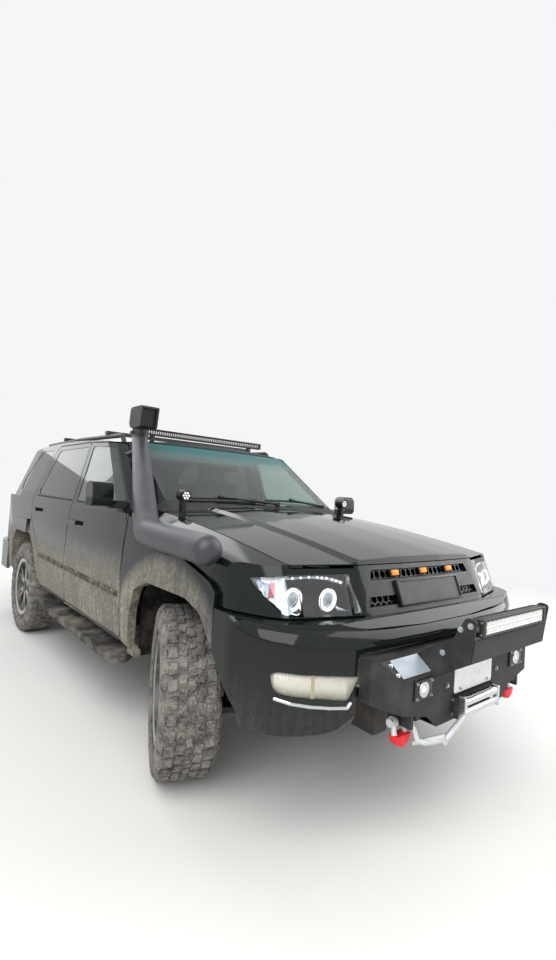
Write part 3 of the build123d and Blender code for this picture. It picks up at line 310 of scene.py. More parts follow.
tread_top = 0.3945
block_base = 0.383
shoulder_radius = 0.3705
tyre_steps = 108
carcass = [
    # radius, half width
    (0.2515, 0.104), (0.262, 0.112), (0.285, 0.127), (0.312, 0.1335), (0.34, 0.132), (0.362, 0.1265),
    (0.377, 0.118), (0.3835, 0.102), (0.385, 0.06), (0.3855, 0.0),
]
tread_rows = (
    # middle of the row across the tread, width, blocks round, block length, skew, start
    (0.0, 0.030, 42, 0.040, 16, 0.0),
    (0.039, 0.034, 42, 0.043, -14, 0.5),
    (-0.039, 0.034, 42, 0.043, -14, 0.5),
    (0.083, 0.040, 36, 0.047, 5, 0.2),
    (-0.083, 0.040, 36, 0.047, 5, 0.7),
)


def add_block(bm, low, high, bevel=0.0, turn=None, segments=1):
    """A box from its lowest to its highest corner, edges rounded, then turned if asked."""
    low, high = Vector(low), Vector(high)
    size = high - low
    place = Matrix.Translation((low + high) / 2) @ Matrix.Diagonal((*size, 1))
    new = bmesh.ops.create_cube(bm, size=1, matrix=place)["verts"]
    if bevel:
        edges = list({e for v in new for e in v.link_edges})
        made = bmesh.ops.bevel(
            bm, geom=edges, offset=bevel, segments=segments, affect="EDGES", profile=0.5, material=-1
        )
        rim = {v for f in made["faces"] for v in f.verts}
        new = list({v for r in rim for f in r.link_faces for v in f.verts})
    if turn:
        bmesh.ops.transform(bm, matrix=turn, verts=new)


def add_rod(bm, start, end, radius, far_radius=None, segments=20):
    """A round bar or cone between two points, with closed ends."""
    start, end = Vector(start), Vector(end)
    way = end - start
    place = Matrix.Translation((start + end) / 2) @ way.to_track_quat("Z", "Y").to_matrix().to_4x4()
    bmesh.ops.create_cone(
        bm, cap_ends=True, segments=segments, radius1=radius,
        radius2=radius if far_radius is None else far_radius, depth=way.length, matrix=place,
    )


def add_turned(bm, line, axis=(1, 0, 0), centre=(0, 0, 0), steps=48, close=False):
    """A profile of (distance along the axis, radius) spun into a turned piece."""
    axis = Vector(axis).normalized()
    side = axis.orthogonal().normalized()
    old = set(bm.verts)
    verts = [bm.verts.new(Vector(centre) + axis * along + side * radius) for along, radius in line]
    pairs = list(zip(verts, verts[1:])) + ([(verts[-1], verts[0])] if close else [])
    edges = [bm.edges.new(pair) for pair in pairs]
    bmesh.ops.spin(
        bm, geom=verts + edges, cent=centre, axis=axis, angle=math.tau, steps=steps, use_merge=True
    )
    bmesh.ops.remove_doubles(bm, verts=[v for v in bm.verts if v not in old], dist=1e-6)
    faces = {f for v in bm.verts if v not in old for f in v.link_faces}
    bmesh.ops.recalc_face_normals(bm, faces=list(faces))


def make_piece(name, bm, material, body="vehicle", smooth=35, wall=0.0, replaced=()):
    """Writes a bmesh to an object that rides on a body, shaded smooth below an angle. wall is the
    thickness that a skin gets behind it."""
    mesh = bpy.data.meshes.new(name)
    bm.to_mesh(mesh)
    bm.free()
    piece = bpy.data.objects.new(name, mesh)
    bpy.context.scene.collection.objects.link(piece)
    for one in material if isinstance(material, tuple) else (material,):
        mesh.materials.append(one)
    if smooth:
        mesh.shade_smooth()
        mesh.set_sharp_from_angle(angle=math.radians(smooth))
    if wall:
        layer = piece.modifiers.new("wall", "SOLIDIFY")
        layer.thickness, layer.offset = wall, -1
    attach(piece, body)
    if replaced:
        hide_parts(*replaced)
    return piece


dusty_rubber, tree, surface, place = new_material("dusty_tyre_rubber", "1b1a19", Roughness=0.9)
clouds = add_node(tree, "TexNoise", {"Vector": place, "Scale": 16, "Detail": 8, "Roughness": 0.7})
specks = add_node(tree, "TexNoise", {"Vector": place, "Scale": 130, "Detail": 5, "Roughness": 0.8})
both = add_node(tree, "Math", [clouds, specks], operation="ADD")
cover = add_node(tree, "MapRange", [both, 0.84, 1.16, 0.12, 0.95])
colour = add_node(tree, "Mix", {0: cover, 6: linear("1d1c1b"), 7: linear("8f8a83")}, data_type="RGBA")
relief = add_node(tree, "Bump", {"Height": specks, "Strength": 0.4, "Distance": 0.0015})
wire(surface, {"Base Color": colour, "Normal": relief})

tyre = bmesh.new()
outline = [(-half, radius) for radius, half in carcass]
add_turned(tyre, outline + [(half, radius) for radius, half in carcass[-2::-1]], steps=tyre_steps)
for wall in (-1, 1):
    protector = ((0.1205, 0.268), (0.1285, 0.272), (0.131, 0.281), (0.126, 0.286))
    add_turned(tyre, [(wall * out, radius) for out, radius in protector], steps=tyre_steps)
for middle, width, count, length, skew, start in tread_rows:
    lean = Matrix.Translation((middle, 0, 0)) @ Matrix.Rotation(math.radians(skew), 4, "Z")
    low = (-width / 2, -length / 2, block_base)
    high = (width / 2, length / 2, tread_top - length * length / 3.2)
    for number in range(count):
        spin = Matrix.Rotation((number + start) * math.tau / count, 4, "X")
        add_block(tyre, low, high, bevel=0.0022, turn=spin @ lean)
for middle, width, count, length, skew, start in tread_rows[3:]:
    wall = math.copysign(1, middle)
    tilt = Matrix.Rotation(wall * math.radians(52), 4, "Y")
    lean = Matrix.Translation((wall * 0.1165, 0, shoulder_radius)) @ tilt
    for number in range(count):
        spin = Matrix.Rotation((number + start) * math.tau / count, 4, "X")
        reach = 0.016 if number % 2 else 0.026
        add_block(tyre, (-reach, -0.0205, -0.008), (0.013, 0.0205, 0.0068), bevel=0.002, turn=spin @ lean)
tyre_mesh = bpy.data.meshes.new("tyre")
tyre.to_mesh(tyre_mesh)
tyre.free()

wheel_joints = {joint["child"]: joint for joint in frame["joints"] if joint["name"].startswith("spin_")}


def at_wheel(wheel):
    """Matrix that takes a wheel piece from the origin to its axle end, outer side out."""
    joint = wheel_joints[wheel]
    axis = Vector(joint["axis"]) * (-1 if wheel.endswith("right") else 1)
    return Matrix.Translation(joint["pos_m"]) @ Matrix.Rotation(math.atan2(axis.y, axis.x), 4, "Z")


ends = [f"{axle}_{side}" for axle in axles for side in sides]
for end in ends:
    bm = bmesh.new()
    bm.from_mesh(tyre_mesh)
    bmesh.ops.transform(bm, matrix=at_wheel(f"wheel_{end}"), verts=bm.verts)
    make_piece(f"treaded_tyre_{end}", bm, dusty_rubber, f"wheel_{end}", smooth=30,
               replaced=(f"tyre_{end}",))

# Wheels: cast alloy rims in gloss black, spokes and lip machined bright, with road dust in the
# corners. Six chromed steel nuts hold each on its hub, round a clipped-in plastic centre cap.

bolt_circle = 0.07


def alloy(name, axis):
    """Gloss black where cast, bright where the lathe faced the spokes and the rim's lip."""
    material, tree, surface, place = new_material(name, "0c0c0d")
    way = add_node(tree, "TexCoord").outputs["Normal"]
    along = add_node(tree, "VectorMath", [way, axis], operation="DOT_PRODUCT")
    flat = add_node(tree, "Math", [along], operation="ABSOLUTE")
    faced = add_node(tree, "Math", [flat, 0.985], operation="GREATER_THAN")
    clouds = add_node(tree, "TexNoise", {"Vector": place, "Scale": 22, "Detail": 7})
    cover = add_node(tree, "MapRange", [clouds, 0.4, 0.75, 0.12, 0.75])
    metal = add_node(tree, "Mix", {0: faced, 6: linear("0c0c0d"), 7: linear("b9b9b7")}, data_type="RGBA")
    colour = add_node(tree, "Mix", {0: cover, 6: metal, 7: linear("7d776e")}, data_type="RGBA")
    bare = add_node(tree, "Math", [1, cover], operation="SUBTRACT")
    shine = add_node(tree, "Math", [faced, bare], operation="MULTIPLY")
    rough = add_node(tree, "Mix", {0: cover, 2: 0.22, 3: 0.8})
    wire(surface, {"Base Color": colour, "Metallic": shine, "Roughness": rough})
    return material


def marked(name, colour, rough, spread=0.12, scale=70, skin=0.06, glow=0.0, **sockets):
    """A clean plated, moulded or glass finish: wipe marks in its gloss, faint grime, a fine skin."""
    material, tree, surface, place = new_material(name, colour, **sockets)
    wipes = add_node(tree, "TexNoise", {"Vector": place, "Scale": scale, "Detail": 6, "Roughness": 0.6})
    gloss = add_node(tree, "MapRange", [wipes, 0.35, 0.7, rough, rough + spread])
    grime = add_node(tree, "MapRange", [wipes, 0.45, 0.8, 0, 0.35])
    worn = [c * 0.55 for c in linear(colour)[:3]] + [1]
    tone = add_node(tree, "Mix", {0: grime, 6: linear(colour), 7: worn}, data_type="RGBA")
    wire(surface, {"Base Color": tone, "Roughness": gloss})
    if skin:
        pores = add_node(tree, "TexNoise", {"Vector": place, "Scale": 600, "Detail": 2})
        relief = add_node(tree, "Bump", {"Height": pores, "Strength": skin, "Distance": 0.0005})
        wire(surface, {"Normal": relief})
    if glow:
        wire(surface, {"Emission Color": linear(colour), "Emission Strength": glow})
    return material


for axle in axles:
    alloy_finish = alloy(f"machined_alloy_{axle}", wheel_joints[f"wheel_{axle}_left"]["axis"])
    give(alloy_finish, f"rim_{axle}_left", f"rim_{axle}_right")
nut_steel = marked("chromed_steel_nut", "a8a8a6", 0.22, Metallic=1.0)
cap_plastic = marked("moulded_cap_plastic", "17181a", 0.32, skin=0.2)
cap_line = [(0.0875, 0.0), (0.0975, 0.0), (0.0965, 0.02), (0.0925, 0.043), (0.0875, 0.049)]
for end in ends:
    bm = bmesh.new()
    for number in range(6):
        angle = number * math.tau / 6 + 0.26
        y, z = bolt_circle * math.cos(angle), bolt_circle * math.sin(angle)
        add_rod(bm, (0.064, y, z), (0.086, y, z), 0.0105, 0.0095, segments=6)
        add_rod(bm, (0.086, y, z), (0.091, y, z), 0.0085, 0.004, segments=12)
    bmesh.ops.transform(bm, matrix=at_wheel(f"wheel_{end}"), verts=bm.verts)
    make_piece(f"wheel_nuts_{end}", bm, nut_steel, f"wheel_{end}", smooth=25)
    bm = bmesh.new()
    add_turned(bm, cap_line, steps=36, close=True)
    add_rod(bm, (0.1, 0.203, 0.0), (0.118, 0.199, 0.0), 0.005, 0.004, segments=10)
    bmesh.ops.transform(bm, matrix=at_wheel(f"wheel_{end}"), verts=bm.verts)
    make_piece(f"centre_cap_{end}", bm, cap_plastic, f"wheel_{end}")

# Headlamps: clear polycarbonate lenses over black moulded housings, with two projector lamps in
# white light rings, a chromed strip of small lamps above them, and in each outer corner a bright
# bowl with a pink side reflector. Each lamp is screwed to the wing from behind.

lens_out = (0.45, -0.85, 0.3)
lens_least = 0.25
lens_wall, bowl_wall = 0.003, 0.002
corner_from = 0.775
projectors = ((-0.744, -2.045, 0.958), (-0.598, -2.092, 0.954))
strip_line = (
    (-0.752, -2.002, 1.034), (-0.645, -2.046, 1.041), (-0.581, -2.068, 1.035), (-0.528, -2.093, 1.017),
)


def outer_skin(node, out, least):
    """The faces of a node that look outwards, merged to one skin. out is for its left side."""
    bm = bmesh.new()
    bm.from_mesh(nodes[node].data)
    bmesh.ops.remove_doubles(bm, verts=bm.verts, dist=1e-5)
    gone = []
    for face in bm.faces:
        way = Vector((math.copysign(out[0], face.calc_center_median().x), out[1], out[2]))
        if face.normal.dot(way) < least:
            gone.append(face)
    bmesh.ops.delete(bm, geom=gone, context="FACES")
    bm.normal_update()
    return bm


def sink(bm, rim, depth):
    """Turns a skin into a bucket: the rim lies just behind the skin and the floor depth behind it."""
    floor = list(bm.verts)
    ways = [v.normal.copy() for v in floor]
    bmesh.ops.extrude_edge_only(bm, edges=[e for e in bm.edges if e.is_boundary])
    bm.normal_update()
    fixed = set(bm.verts) - set(floor)
    for v, way in zip(floor, ways):
        for e in v.link_edges:
            far = e.other_vert(v)
            if far in fixed and (far.co - v.co).length < 1e-6:
                far.co -= way * rim
        v.co += Vector((-way.x * 0.02, depth, -max(way.z, 0) * 0.006))
    return bm


def facing(spot, way):
    """Matrix that stands a piece drawn along +Z at a spot, looking along way."""
    return Matrix.Translation(spot) @ Vector(way).to_track_quat("Z", "Y").to_matrix().to_4x4()


def both_sides(spot):
    """A spot on the right side and its mirror image on the left."""
    return (spot, (-spot[0],) + tuple(spot[1:]))


def add_bead(bm, line, radius, segments=16, rings=8, ball=1):
    """A round bar along a line. A ball at the first (0) or last (1) end of each run closes corners."""
    for run in zip(line, line[1:]):
        add_rod(bm, *run, radius, segments=segments)
        ball_place = Matrix.Translation(run[ball])
        bmesh.ops.create_uvsphere(bm, u_segments=segments, v_segments=rings, radius=radius, matrix=ball_place)


clear_lens = marked("clear_polycarbonate", "f2f5f6", 0.01, spread=0.05, scale=25, skin=0, IOR=1.58,
                    Transmission_Weight=1.0)
black_housing = marked("black_moulded_housing", "0e0f11", 0.28, skin=0.15)
chrome = marked("vacuum_chromed_plastic", "c9ccd0", 0.1, Metallic=1.0)
ring_light = marked("frosted_light_ring", "ffffff", 0.4, glow=1.0)
lamp_dome = marked("projector_glass", "d5e2ea", 0.02, spread=0.05, skin=0, IOR=1.5,
                   Transmission_Weight=0.35)
pink_reflector = marked("side_reflector_acrylic", "e06a6a", 0.18, scale=200)
corner_bowl = marked("aluminised_corner_bowl", "d9dff0", 0.26, Metallic=0.4)

skin = outer_skin("headlamps", lens_out, lens_least)
make_piece("headlamp_lenses", skin, clear_lens, smooth=0, wall=lens_wall, replaced=("headlamps",))
bucket = sink(outer_skin("headlamps", lens_out, lens_least), 0.005, 0.062)
make_piece("headlamp_housings", bucket, black_housing, smooth=30, wall=bowl_wall)

rings = bmesh.new()
bowls = bmesh.new()
domes = bmesh.new()
angles = [number * math.tau / 10 for number in range(10)]
circle = [(0.0075 * math.cos(angle), 0.0395 + 0.0075 * math.sin(angle)) for angle in angles]
shroud = [
    (0.004, 0.047), (0.006, 0.0455), (-0.012, 0.036), (-0.012, 0.0265), (-0.016, 0.0265), (-0.018, 0.04),
]
dome = [
    (-0.014, 0.0), (-0.014, 0.0275), (-0.006, 0.026), (0.002, 0.0195), (0.007, 0.0105), (0.0085, 0.0),
]
for spot in projectors:
    for centre in both_sides(spot):
        add_turned(rings, circle, axis=(0, -1, 0), centre=centre, steps=40, close=True)
        add_turned(bowls, shroud, axis=(0, -1, 0), centre=centre, steps=40, close=True)
        add_turned(domes, dome, axis=(0, -1, 0), centre=centre, steps=32)
for side in (1, -1):
    line = [Vector((x * side, y, z)) for x, y, z in strip_line]
    add_bead(bowls, line, 0.0105)
    for start, end in zip(line, line[1:]):
        for number in range(3):
            spot = start.lerp(end, 0.2 + number * 0.3) + Vector((0, -0.009, 0.001))
            add_rod(rings, spot, spot + Vector((0, -0.004, 0)), 0.0058, 0.0045, segments=12)
    tip = Vector((-0.53 * side, -2.135, 0.914))
    add_rod(bowls, tip + Vector((-0.04 * side, 0.02, 0.006)), tip, 0.013, 0.003, segments=16)
make_piece("headlamp_light_rings", rings, ring_light)
make_piece("headlamp_bright_trim", bowls, chrome)
make_piece("headlamp_projectors", domes, lamp_dome)

corner = outer_skin("headlamps", lens_out, lens_least)
for side in (1, -1):
    everything = list(corner.verts) + list(corner.edges) + list(corner.faces)
    cut = (side * corner_from, 0, 0)
    bmesh.ops.bisect_plane(corner, geom=everything, plane_co=cut, plane_no=(side, 0, 0))
inner = [f for f in corner.faces if abs(f.calc_center_median().x) < corner_from]
bmesh.ops.delete(corner, geom=inner, context="FACES")
for v in corner.verts:
    v.co -= v.normal * 0.02
make_piece("headlamp_corner_bowls", corner, corner_bowl, smooth=30, wall=bowl_wall)
bm = bmesh.new()
for side, spot in zip((1, -1), both_sides((-0.812, -1.998, 0.992))):
    out = facing(spot, (-0.72 * side, -0.65, 0.23))
    add_block(bm, (-0.012, -0.03, -0.003), (0.012, 0.03, 0.003), 0.002, out)
make_piece("headlamp_side_reflectors", bm, pink_reflector)

# Fog lamps: two chambers behind one fluted lens in each end of the bumper cover, cream white from
# the bright bowls behind it, parted by a moulded rib, with a chromed strip clipped under them.

fog_out = (0.4, -0.92, 0)
trim_line = [
    (-0.857, -2.104, 0.623), (-0.815, -2.144, 0.61), (-0.748, -2.179, 0.597), (-0.671, -2.207, 0.585),
    (-0.604, -2.231, 0.58), (-0.59, -2.235, 0.598),
]
fluted, tree, surface, place = new_material(
    "fluted_polycarbonate", "f3eee0", Roughness=0.14, IOR=1.58, Transmission_Weight=0.45
)
flutes = add_node(
    tree, "TexWave", {"Vector": place, "Scale": 34}, wave_type="BANDS", bands_direction="X"
)
relief = add_node(tree, "Bump", {"Height": flutes.outputs["Fac"], "Strength": 0.5, "Distance": 0.002})
wire(surface, {"Normal": relief})
bright_bowl = marked("aluminised_bowl", "efeadc", 0.3, Metallic=0.3)
divider = marked("lens_divider_plastic", "a99d7f", 0.38, scale=120)
skin = outer_skin("fog_lamps", fog_out, 0.35)
make_piece("fog_lamp_lenses", skin, fluted, smooth=40, wall=lens_wall, replaced=("fog_lamps",))
bucket = sink(outer_skin("fog_lamps", fog_out, 0.35), 0.004, 0.03)
make_piece("fog_lamp_bowls", bucket, bright_bowl, smooth=30, wall=bowl_wall)
bm = bmesh.new()
for side, spot in zip((1, -1), both_sides((-0.734, -2.171, 0.66))):
    out = facing(spot, (-0.34 * side, -0.94, 0))
    add_block(bm, (-0.007, -0.052, -0.012), (0.007, 0.05, 0.0045), 0.001, out)
make_piece("fog_lamp_dividers", bm, divider)
bm = bmesh.new()
for side in (1, -1):
    add_bead(bm, [(x * side, y, z) for x, y, z in trim_line], 0.0075, segments=10, rings=6, ball=0)
make_piece("fog_lamp_trims", bm, chrome)

# Front bumper shoulder: the painted plastic cover rolls over under the lamps to a sharp lower
# edge that catches the sky. One strip of skin from end to end, turned under, with a 3 mm wall.

cover_wall = 0.003
shoulder_table = (
    # upper point and lower edge, outer end first
    ((-0.943, -1.907, 0.890), (-0.945, -1.912, 0.878)),
    ((-0.926, -1.972, 0.887), (-0.933, -1.975, 0.853)),
    ((-0.900, -2.036, 0.885), (-0.911, -2.043, 0.838)),
    ((-0.870, -2.087, 0.884), (-0.881, -2.101, 0.832)),
    ((-0.796, -2.155, 0.880), (-0.803, -2.171, 0.821)),
    ((-0.688, -2.200, 0.872), (-0.693, -2.214, 0.812)),
    ((-0.565, -2.240, 0.862), (-0.567, -2.252, 0.806)),
    ((-0.420, -2.263, 0.858), (-0.420, -2.274, 0.802)),
    ((-0.200, -2.280, 0.856), (-0.200, -2.288, 0.800)),
)
bm = bmesh.new()
line = []
for side, half in ((1, shoulder_table), (-1, shoulder_table[::-1])):
    line += [[bm.verts.new((x * side, y, z)) for x, y, z in pair] for pair in half]
upper = [bm.edges.new((a[0], b[0])) for a, b in zip(line, line[1:])]
lower = [bm.edges.new((a[1], b[1])) for a, b in zip(line, line[1:])]
bmesh.ops.bridge_loops(bm, edges=upper + lower)
under = bmesh.ops.extrude_edge_only(bm, edges=lower)
for v in [item for item in under["geom"] if isinstance(item, bmesh.types.BMVert)]:
    v.co = v.co * 0.992 + Vector((0, 0, v.co.z * 0.008 - 0.006))
bmesh.ops.recalc_face_normals(bm, faces=bm.faces)
if sum(f.normal.z * f.calc_area() for f in bm.faces) < 0:
    bmesh.ops.reverse_faces(bm, faces=bm.faces)
make_piece("bumper_shoulder", bm, hood_paint, smooth=50, wall=cover_wall)

# Grille: moulded gloss black honeycomb and frame, clipped into the nose, with three amber marker
# lamps above the wide bar and a plain raised panel on its middle.

grille_plastic = grimy("gloss_moulded_grille", "08090b", "33312d", 0.34, amount=0.2, bump=0.05)
give(grille_plastic, "grille")
up_face = Vector((0, 0.37, 0.93)).normalized()
out_face = Vector((0, -0.93, 0.37)).normalized()


def on_grille(spot):
    """Matrix for a piece drawn in x, up and out of the leaning grille face."""
    turn = Matrix((Vector((1, 0, 0)), up_face, out_face)).transposed().to_4x4()
    return Matrix.Translation(spot) @ turn


bm = bmesh.new()
bmesh.ops.create_cube(bm, size=1, matrix=Matrix.Diagonal((0.49, 0.118, 0.024, 1)))
edges = list(bm.edges)
bmesh.ops.bevel(bm, geom=edges, offset=0.004, segments=2, affect="EDGES", profile=0.5, material=-1)
front_face = max(bm.faces, key=lambda f: f.calc_center_median().z * 100 + f.calc_area())
bmesh.ops.inset_region(bm, faces=[front_face], thickness=0.009)
bmesh.ops.inset_region(bm, faces=[front_face], thickness=0.002, depth=-0.006)
bmesh.ops.transform(bm, matrix=on_grille((0, -2.168, 0.966)), verts=bm.verts)
make_piece("grille_centre_panel", bm, grille_plastic, smooth=30)
bm = bmesh.new()
feet = bmesh.new()
for x in (-0.226, -0.011, 0.203):
    spot = on_grille((x, -2.128, 1.048))
    add_block(bm, (-0.021, -0.011, 0.004), (0.021, 0.011, 0.014), 0.003, spot, segments=2)
    add_block(feet, (-0.026, -0.015, -0.01), (0.026, 0.015, 0.006), 0.002, spot)
amber_glow = marked("lit_amber_acrylic", "ff7d10", 0.28, scale=160, glow=0.6)
make_piece("grille_marker_lamps", bm, amber_glow)
make_piece("grille_marker_feet", feet, black_housing)

# Winch bumper: folded 5 mm steel plate under textured black powder coat, bolted to the frame, with
# light grey top plates drawn as blasted alloy, their pale colour partly a painted reflection of the
# sky on the sloped top, two flush pod lamps, bright zinc bolts, a fairlead of stainless rollers
# and a blank white registration plate.

powder_coat = grimy("textured_powder_coat", "17181b", "58544d", 0.62, scale=10, amount=0.35, bump=0.5)
give(powder_coat, "winch_bumper")
give(cast_iron, "winch")
zinc_bolt = marked("zinc_plated_steel", "b7babd", 0.28, scale=150, Metallic=1.0)
# The top plates' light grey is partly a painted reflection of the sky on the bar's sloped top.
top_plate_and_sky_sheen = grimy("pale_plate_painted_sky_sheen", "a9b0b8", "77746d", 0.5, metallic=0.35, amount=0.3, bump=0.15)
shelf_y, shelf_z = -2.397, 0.714
shelf_run, shelf_rise = 0.07, 0.049
shelf_tilt = math.atan2(shelf_rise, shelf_run)
bumper_face = -2.3995
pod_x, pod_z = 0.376, 0.662
forward = (0, -1, 0)


def add_bolt(bm, spot, way, radius=0.008):
    """A hexagon head on a washer."""
    spot, way = Vector(spot), Vector(way).normalized()
    add_rod(bm, spot, spot + way * 0.0018, radius * 1.45, segments=14)
    add_rod(bm, spot + way * 0.0018, spot + way * 0.0075, radius, radius * 0.94, segments=6)


# Pale plates on the sky-facing top facets: their colour is partly painted sky reflection.
bm = bmesh.new()
for side in (1, -1):
    lean = Matrix.Translation((side * 0.405, -2.362, 0.7405)) @ Matrix.Rotation(shelf_tilt, 4, "X")
    add_block(bm, (-0.087, -0.041, -0.001), (0.087, 0.041, 0.0035), 0.001, lean)
make_piece("winch_bumper_top_plates", bm, top_plate_and_sky_sheen, smooth=30)
bolts = bmesh.new()
shelf_up = (0, -math.sin(shelf_tilt), math.cos(shelf_tilt))
for x in (-0.30, 0.30, -0.505, 0.505):
    for t in (0.25, 0.75):
        add_bolt(bolts, (x, shelf_y + shelf_run * t, shelf_z + shelf_rise * t + 0.001), shelf_up, 0.006)
pods = bmesh.new()
cups = bmesh.new()
chips = bmesh.new()
for side in (1, -1):
    for y, z in ((-2.548, 0.925), (-2.508, 0.905), (-2.44, 0.80)):
        add_bolt(bolts, (side * 0.315, y, z), (side, 0, 0), 0.008)
    add_bolt(bolts, (side * 0.202, bumper_face, 0.64), forward, 0.007)
    for z in (0.516, 0.574):
        add_bolt(bolts, (side * 0.155, -2.4, z), forward, 0.006)
for side in (1, -1):
    centre = (side * pod_x, bumper_face, pod_z)
    out = facing(centre, forward)
    add_block(pods, (-0.056, -0.038, -0.002), (0.056, 0.038, 0.008), 0.004, out, segments=2)
    bowl = [(0.0085, 0.03), (0.011, 0.029), (0.011, 0.026), (0.0085, 0.014)]
    add_turned(cups, bowl, axis=forward, centre=centre, steps=28)
    add_rod(chips, (side * pod_x, -2.407, pod_z), (side * pod_x, -2.4115, pod_z), 0.014, 0.009)
    for x in (-0.046, 0.046):
        for z in (-0.028, 0.028):
            add_bolt(bolts, (side * pod_x + x, -2.4075, pod_z + z), forward, 0.004)
led_chip = marked("white_led_lens", "fbfbf6", 0.18, scale=200, glow=0.12)
make_piece("pod_lamps", pods, black_housing, smooth=30)
make_piece("pod_lamp_bowls", cups, chrome)
make_piece("pod_lamp_chips", chips, led_chip)

plate_enamel = marked("reflective_plate_sheet", "f2f3f1", 0.28, scale=30)
bm = bmesh.new()
plate_place = Matrix.Translation((0, -2.4015, 0.673)) @ Matrix.Diagonal((0.304, 0.0025, 0.152, 1))
bmesh.ops.create_cube(bm, size=1, matrix=plate_place)
corners = [e for e in bm.edges if abs(e.verts[0].co.y - e.verts[1].co.y) > 0.001]
bmesh.ops.bevel(bm, geom=corners, offset=0.01, segments=4, affect="EDGES", profile=0.5, material=-1)
front_face = min(bm.faces, key=lambda f: f.calc_center_median().y)
bmesh.ops.inset_region(bm, faces=[front_face], thickness=0.005)
bmesh.ops.inset_region(bm, faces=[front_face], thickness=0.0015, depth=0.001)
make_piece("blank_number_plate", bm, plate_enamel, smooth=30, replaced=("number_plate",))
for x in (-0.11, 0.11):
    for z in (0.612, 0.734):
        add_bolt(bolts, (x, -2.4028, z), forward, 0.0045)

rollers = bmesh.new()
for z in (0.525, 0.567):
    add_rod(rollers, (-0.13, -2.432, z), (0.13, -2.432, z), 0.0165, segments=28)
for x in (-0.108, 0.108):
    add_rod(rollers, (x, -2.425, 0.506), (x, -2.425, 0.584), 0.013, segments=24)
for side in (1, -1):
    add_block(rollers, (side * 0.137 - 0.006, -2.45, 0.503), (side * 0.137 + 0.006, -2.417, 0.589), 0.003)
roller_steel = marked("turned_stainless_steel", "cfd2d4", 0.2, scale=90, Metallic=1.0)
make_piece("fairlead_rollers", rollers, roller_steel)

# Light bar in the hoop: an extruded and anodised black housing with cooling ribs, end caps screwed
# to the hoop, and two rows of bright square cups with a white chip in each behind a clear cover.

bright_cup = marked("white_chromed_cup", "e9e9e6", 0.26, scale=120, Metallic=0.55)
bar_housing = grimy("anodised_lamp_housing", "101113", "4a4640", 0.42, amount=0.3, bump=0.1)
cap_length = 0.022
rib_pitch = 0.016


def add_cups(bm, low, high, face_y, across, rows):
    """A panel of square cups that face -Y. The cups' floors are returned."""
    width, height = high[0] - low[0], high[1] - low[1]
    middle = ((low[0] + high[0]) / 2, face_y, (low[1] + high[1]) / 2)
    stand = Matrix.Rotation(math.pi / 2, 4, "X") @ Matrix.Diagonal((width / 2, height / 2, 1, 1))
    place = Matrix.Translation(middle) @ stand
    made = bmesh.ops.create_grid(bm, x_segments=across, y_segments=rows, size=1, matrix=place)
    cells = list({f for v in made["verts"] for f in v.link_faces})
    bmesh.ops.inset_individual(bm, faces=cells, thickness=0.0022)
    slope = min(width / across, height / rows) * 0.2
    bmesh.ops.inset_individual(bm, faces=cells, thickness=slope, depth=-0.007)
    for cell in cells:
        cell.material_index = 1
    return cells


def light_bar(node, low, high, across, rows, frame_finish):
    """A straight lamp bar that stands for a node, between two corners, its face towards -Y."""
    (x0, y0, z0), (x1, y1, z1) = low, high
    name = "winch_light_bar" if node == "light_bar" else node
    shell = bmesh.new()
    for bottom, top in ((z0, z0 + 0.0085), (z1 - 0.0085, z1)):
        add_block(shell, (x0 + 0.012, y0 + 0.001, bottom), (x1 - 0.012, y1 - 0.016, top), 0.0015)
    for left, right in ((x0, x0 + cap_length), (x1 - cap_length, x1)):
        add_block(shell, (left, y0, z0), (right, y1 - 0.006, z1), 0.003)
    add_block(shell, (x0 + 0.01, y0 + 0.02, z0 + 0.002), (x1 - 0.01, y1 - 0.018, z1 - 0.002))
    count = int((x1 - x0) / rib_pitch)
    for number in range(count):
        x = x0 + 0.01 + (x1 - x0 - 0.02) * (number + 0.5) / count
        add_block(shell, (x - 0.0017, y1 - 0.019, z0 + 0.001), (x + 0.0017, y1, z1 - 0.001))
        if number % 2:
            for bottom, top in ((z1 - 0.009, z1 - 0.001), (z0 + 0.001, z0 + 0.009)):
                add_block(shell, (x - 0.004, y0 + 0.0005, bottom), (x + 0.004, y0 + 0.005, top))
    make_piece(f"{name}_housing", shell, bar_housing, smooth=30, replaced=(node,))
    panel = bmesh.new()
    cells = add_cups(panel, (x0 + 0.022, z0 + 0.009), (x1 - 0.022, z1 - 0.009), y0 + 0.006, across, rows)
    lights = bmesh.new()
    for cell in cells:
        spot = cell.calc_center_median()
        add_rod(lights, spot, spot + Vector((0, -0.004, 0)), 0.0055, 0.0035, segments=8)
    make_piece(f"{name}_cups", panel, (frame_finish, bright_cup), smooth=0)
    make_piece(f"{name}_chips", lights, led_chip)


light_bar("light_bar", (-0.27, -2.5752, 0.88), (0.27, -2.523, 0.947), 22, 2, bright_cup)
for side in (1, -1):
    for y in (-2.566, -2.534):
        for z in (0.936, 0.891):
            add_bolt(bolts, (side * 0.27, y, z), (side, 0, 0), 0.0035)
    for inner, outer, radius, segments in ((0.268, 0.3045, 0.0095, 20), (0.276, 0.286, 0.017, 6)):
        start, end = [(side * x, -2.5465, 0.912) for x in (inner, outer)]
        add_rod(bolts, start, end, radius, segments=segments)
make_piece("winch_bumper_bolts", bolts, zinc_bolt, smooth=25)

# Recovery shackles: forged and galvanised bows, dull silver, pinned to the bumper's lugs, each
# with a red moulded isolator round its bow, and the forged winch hook clipped to the right one.

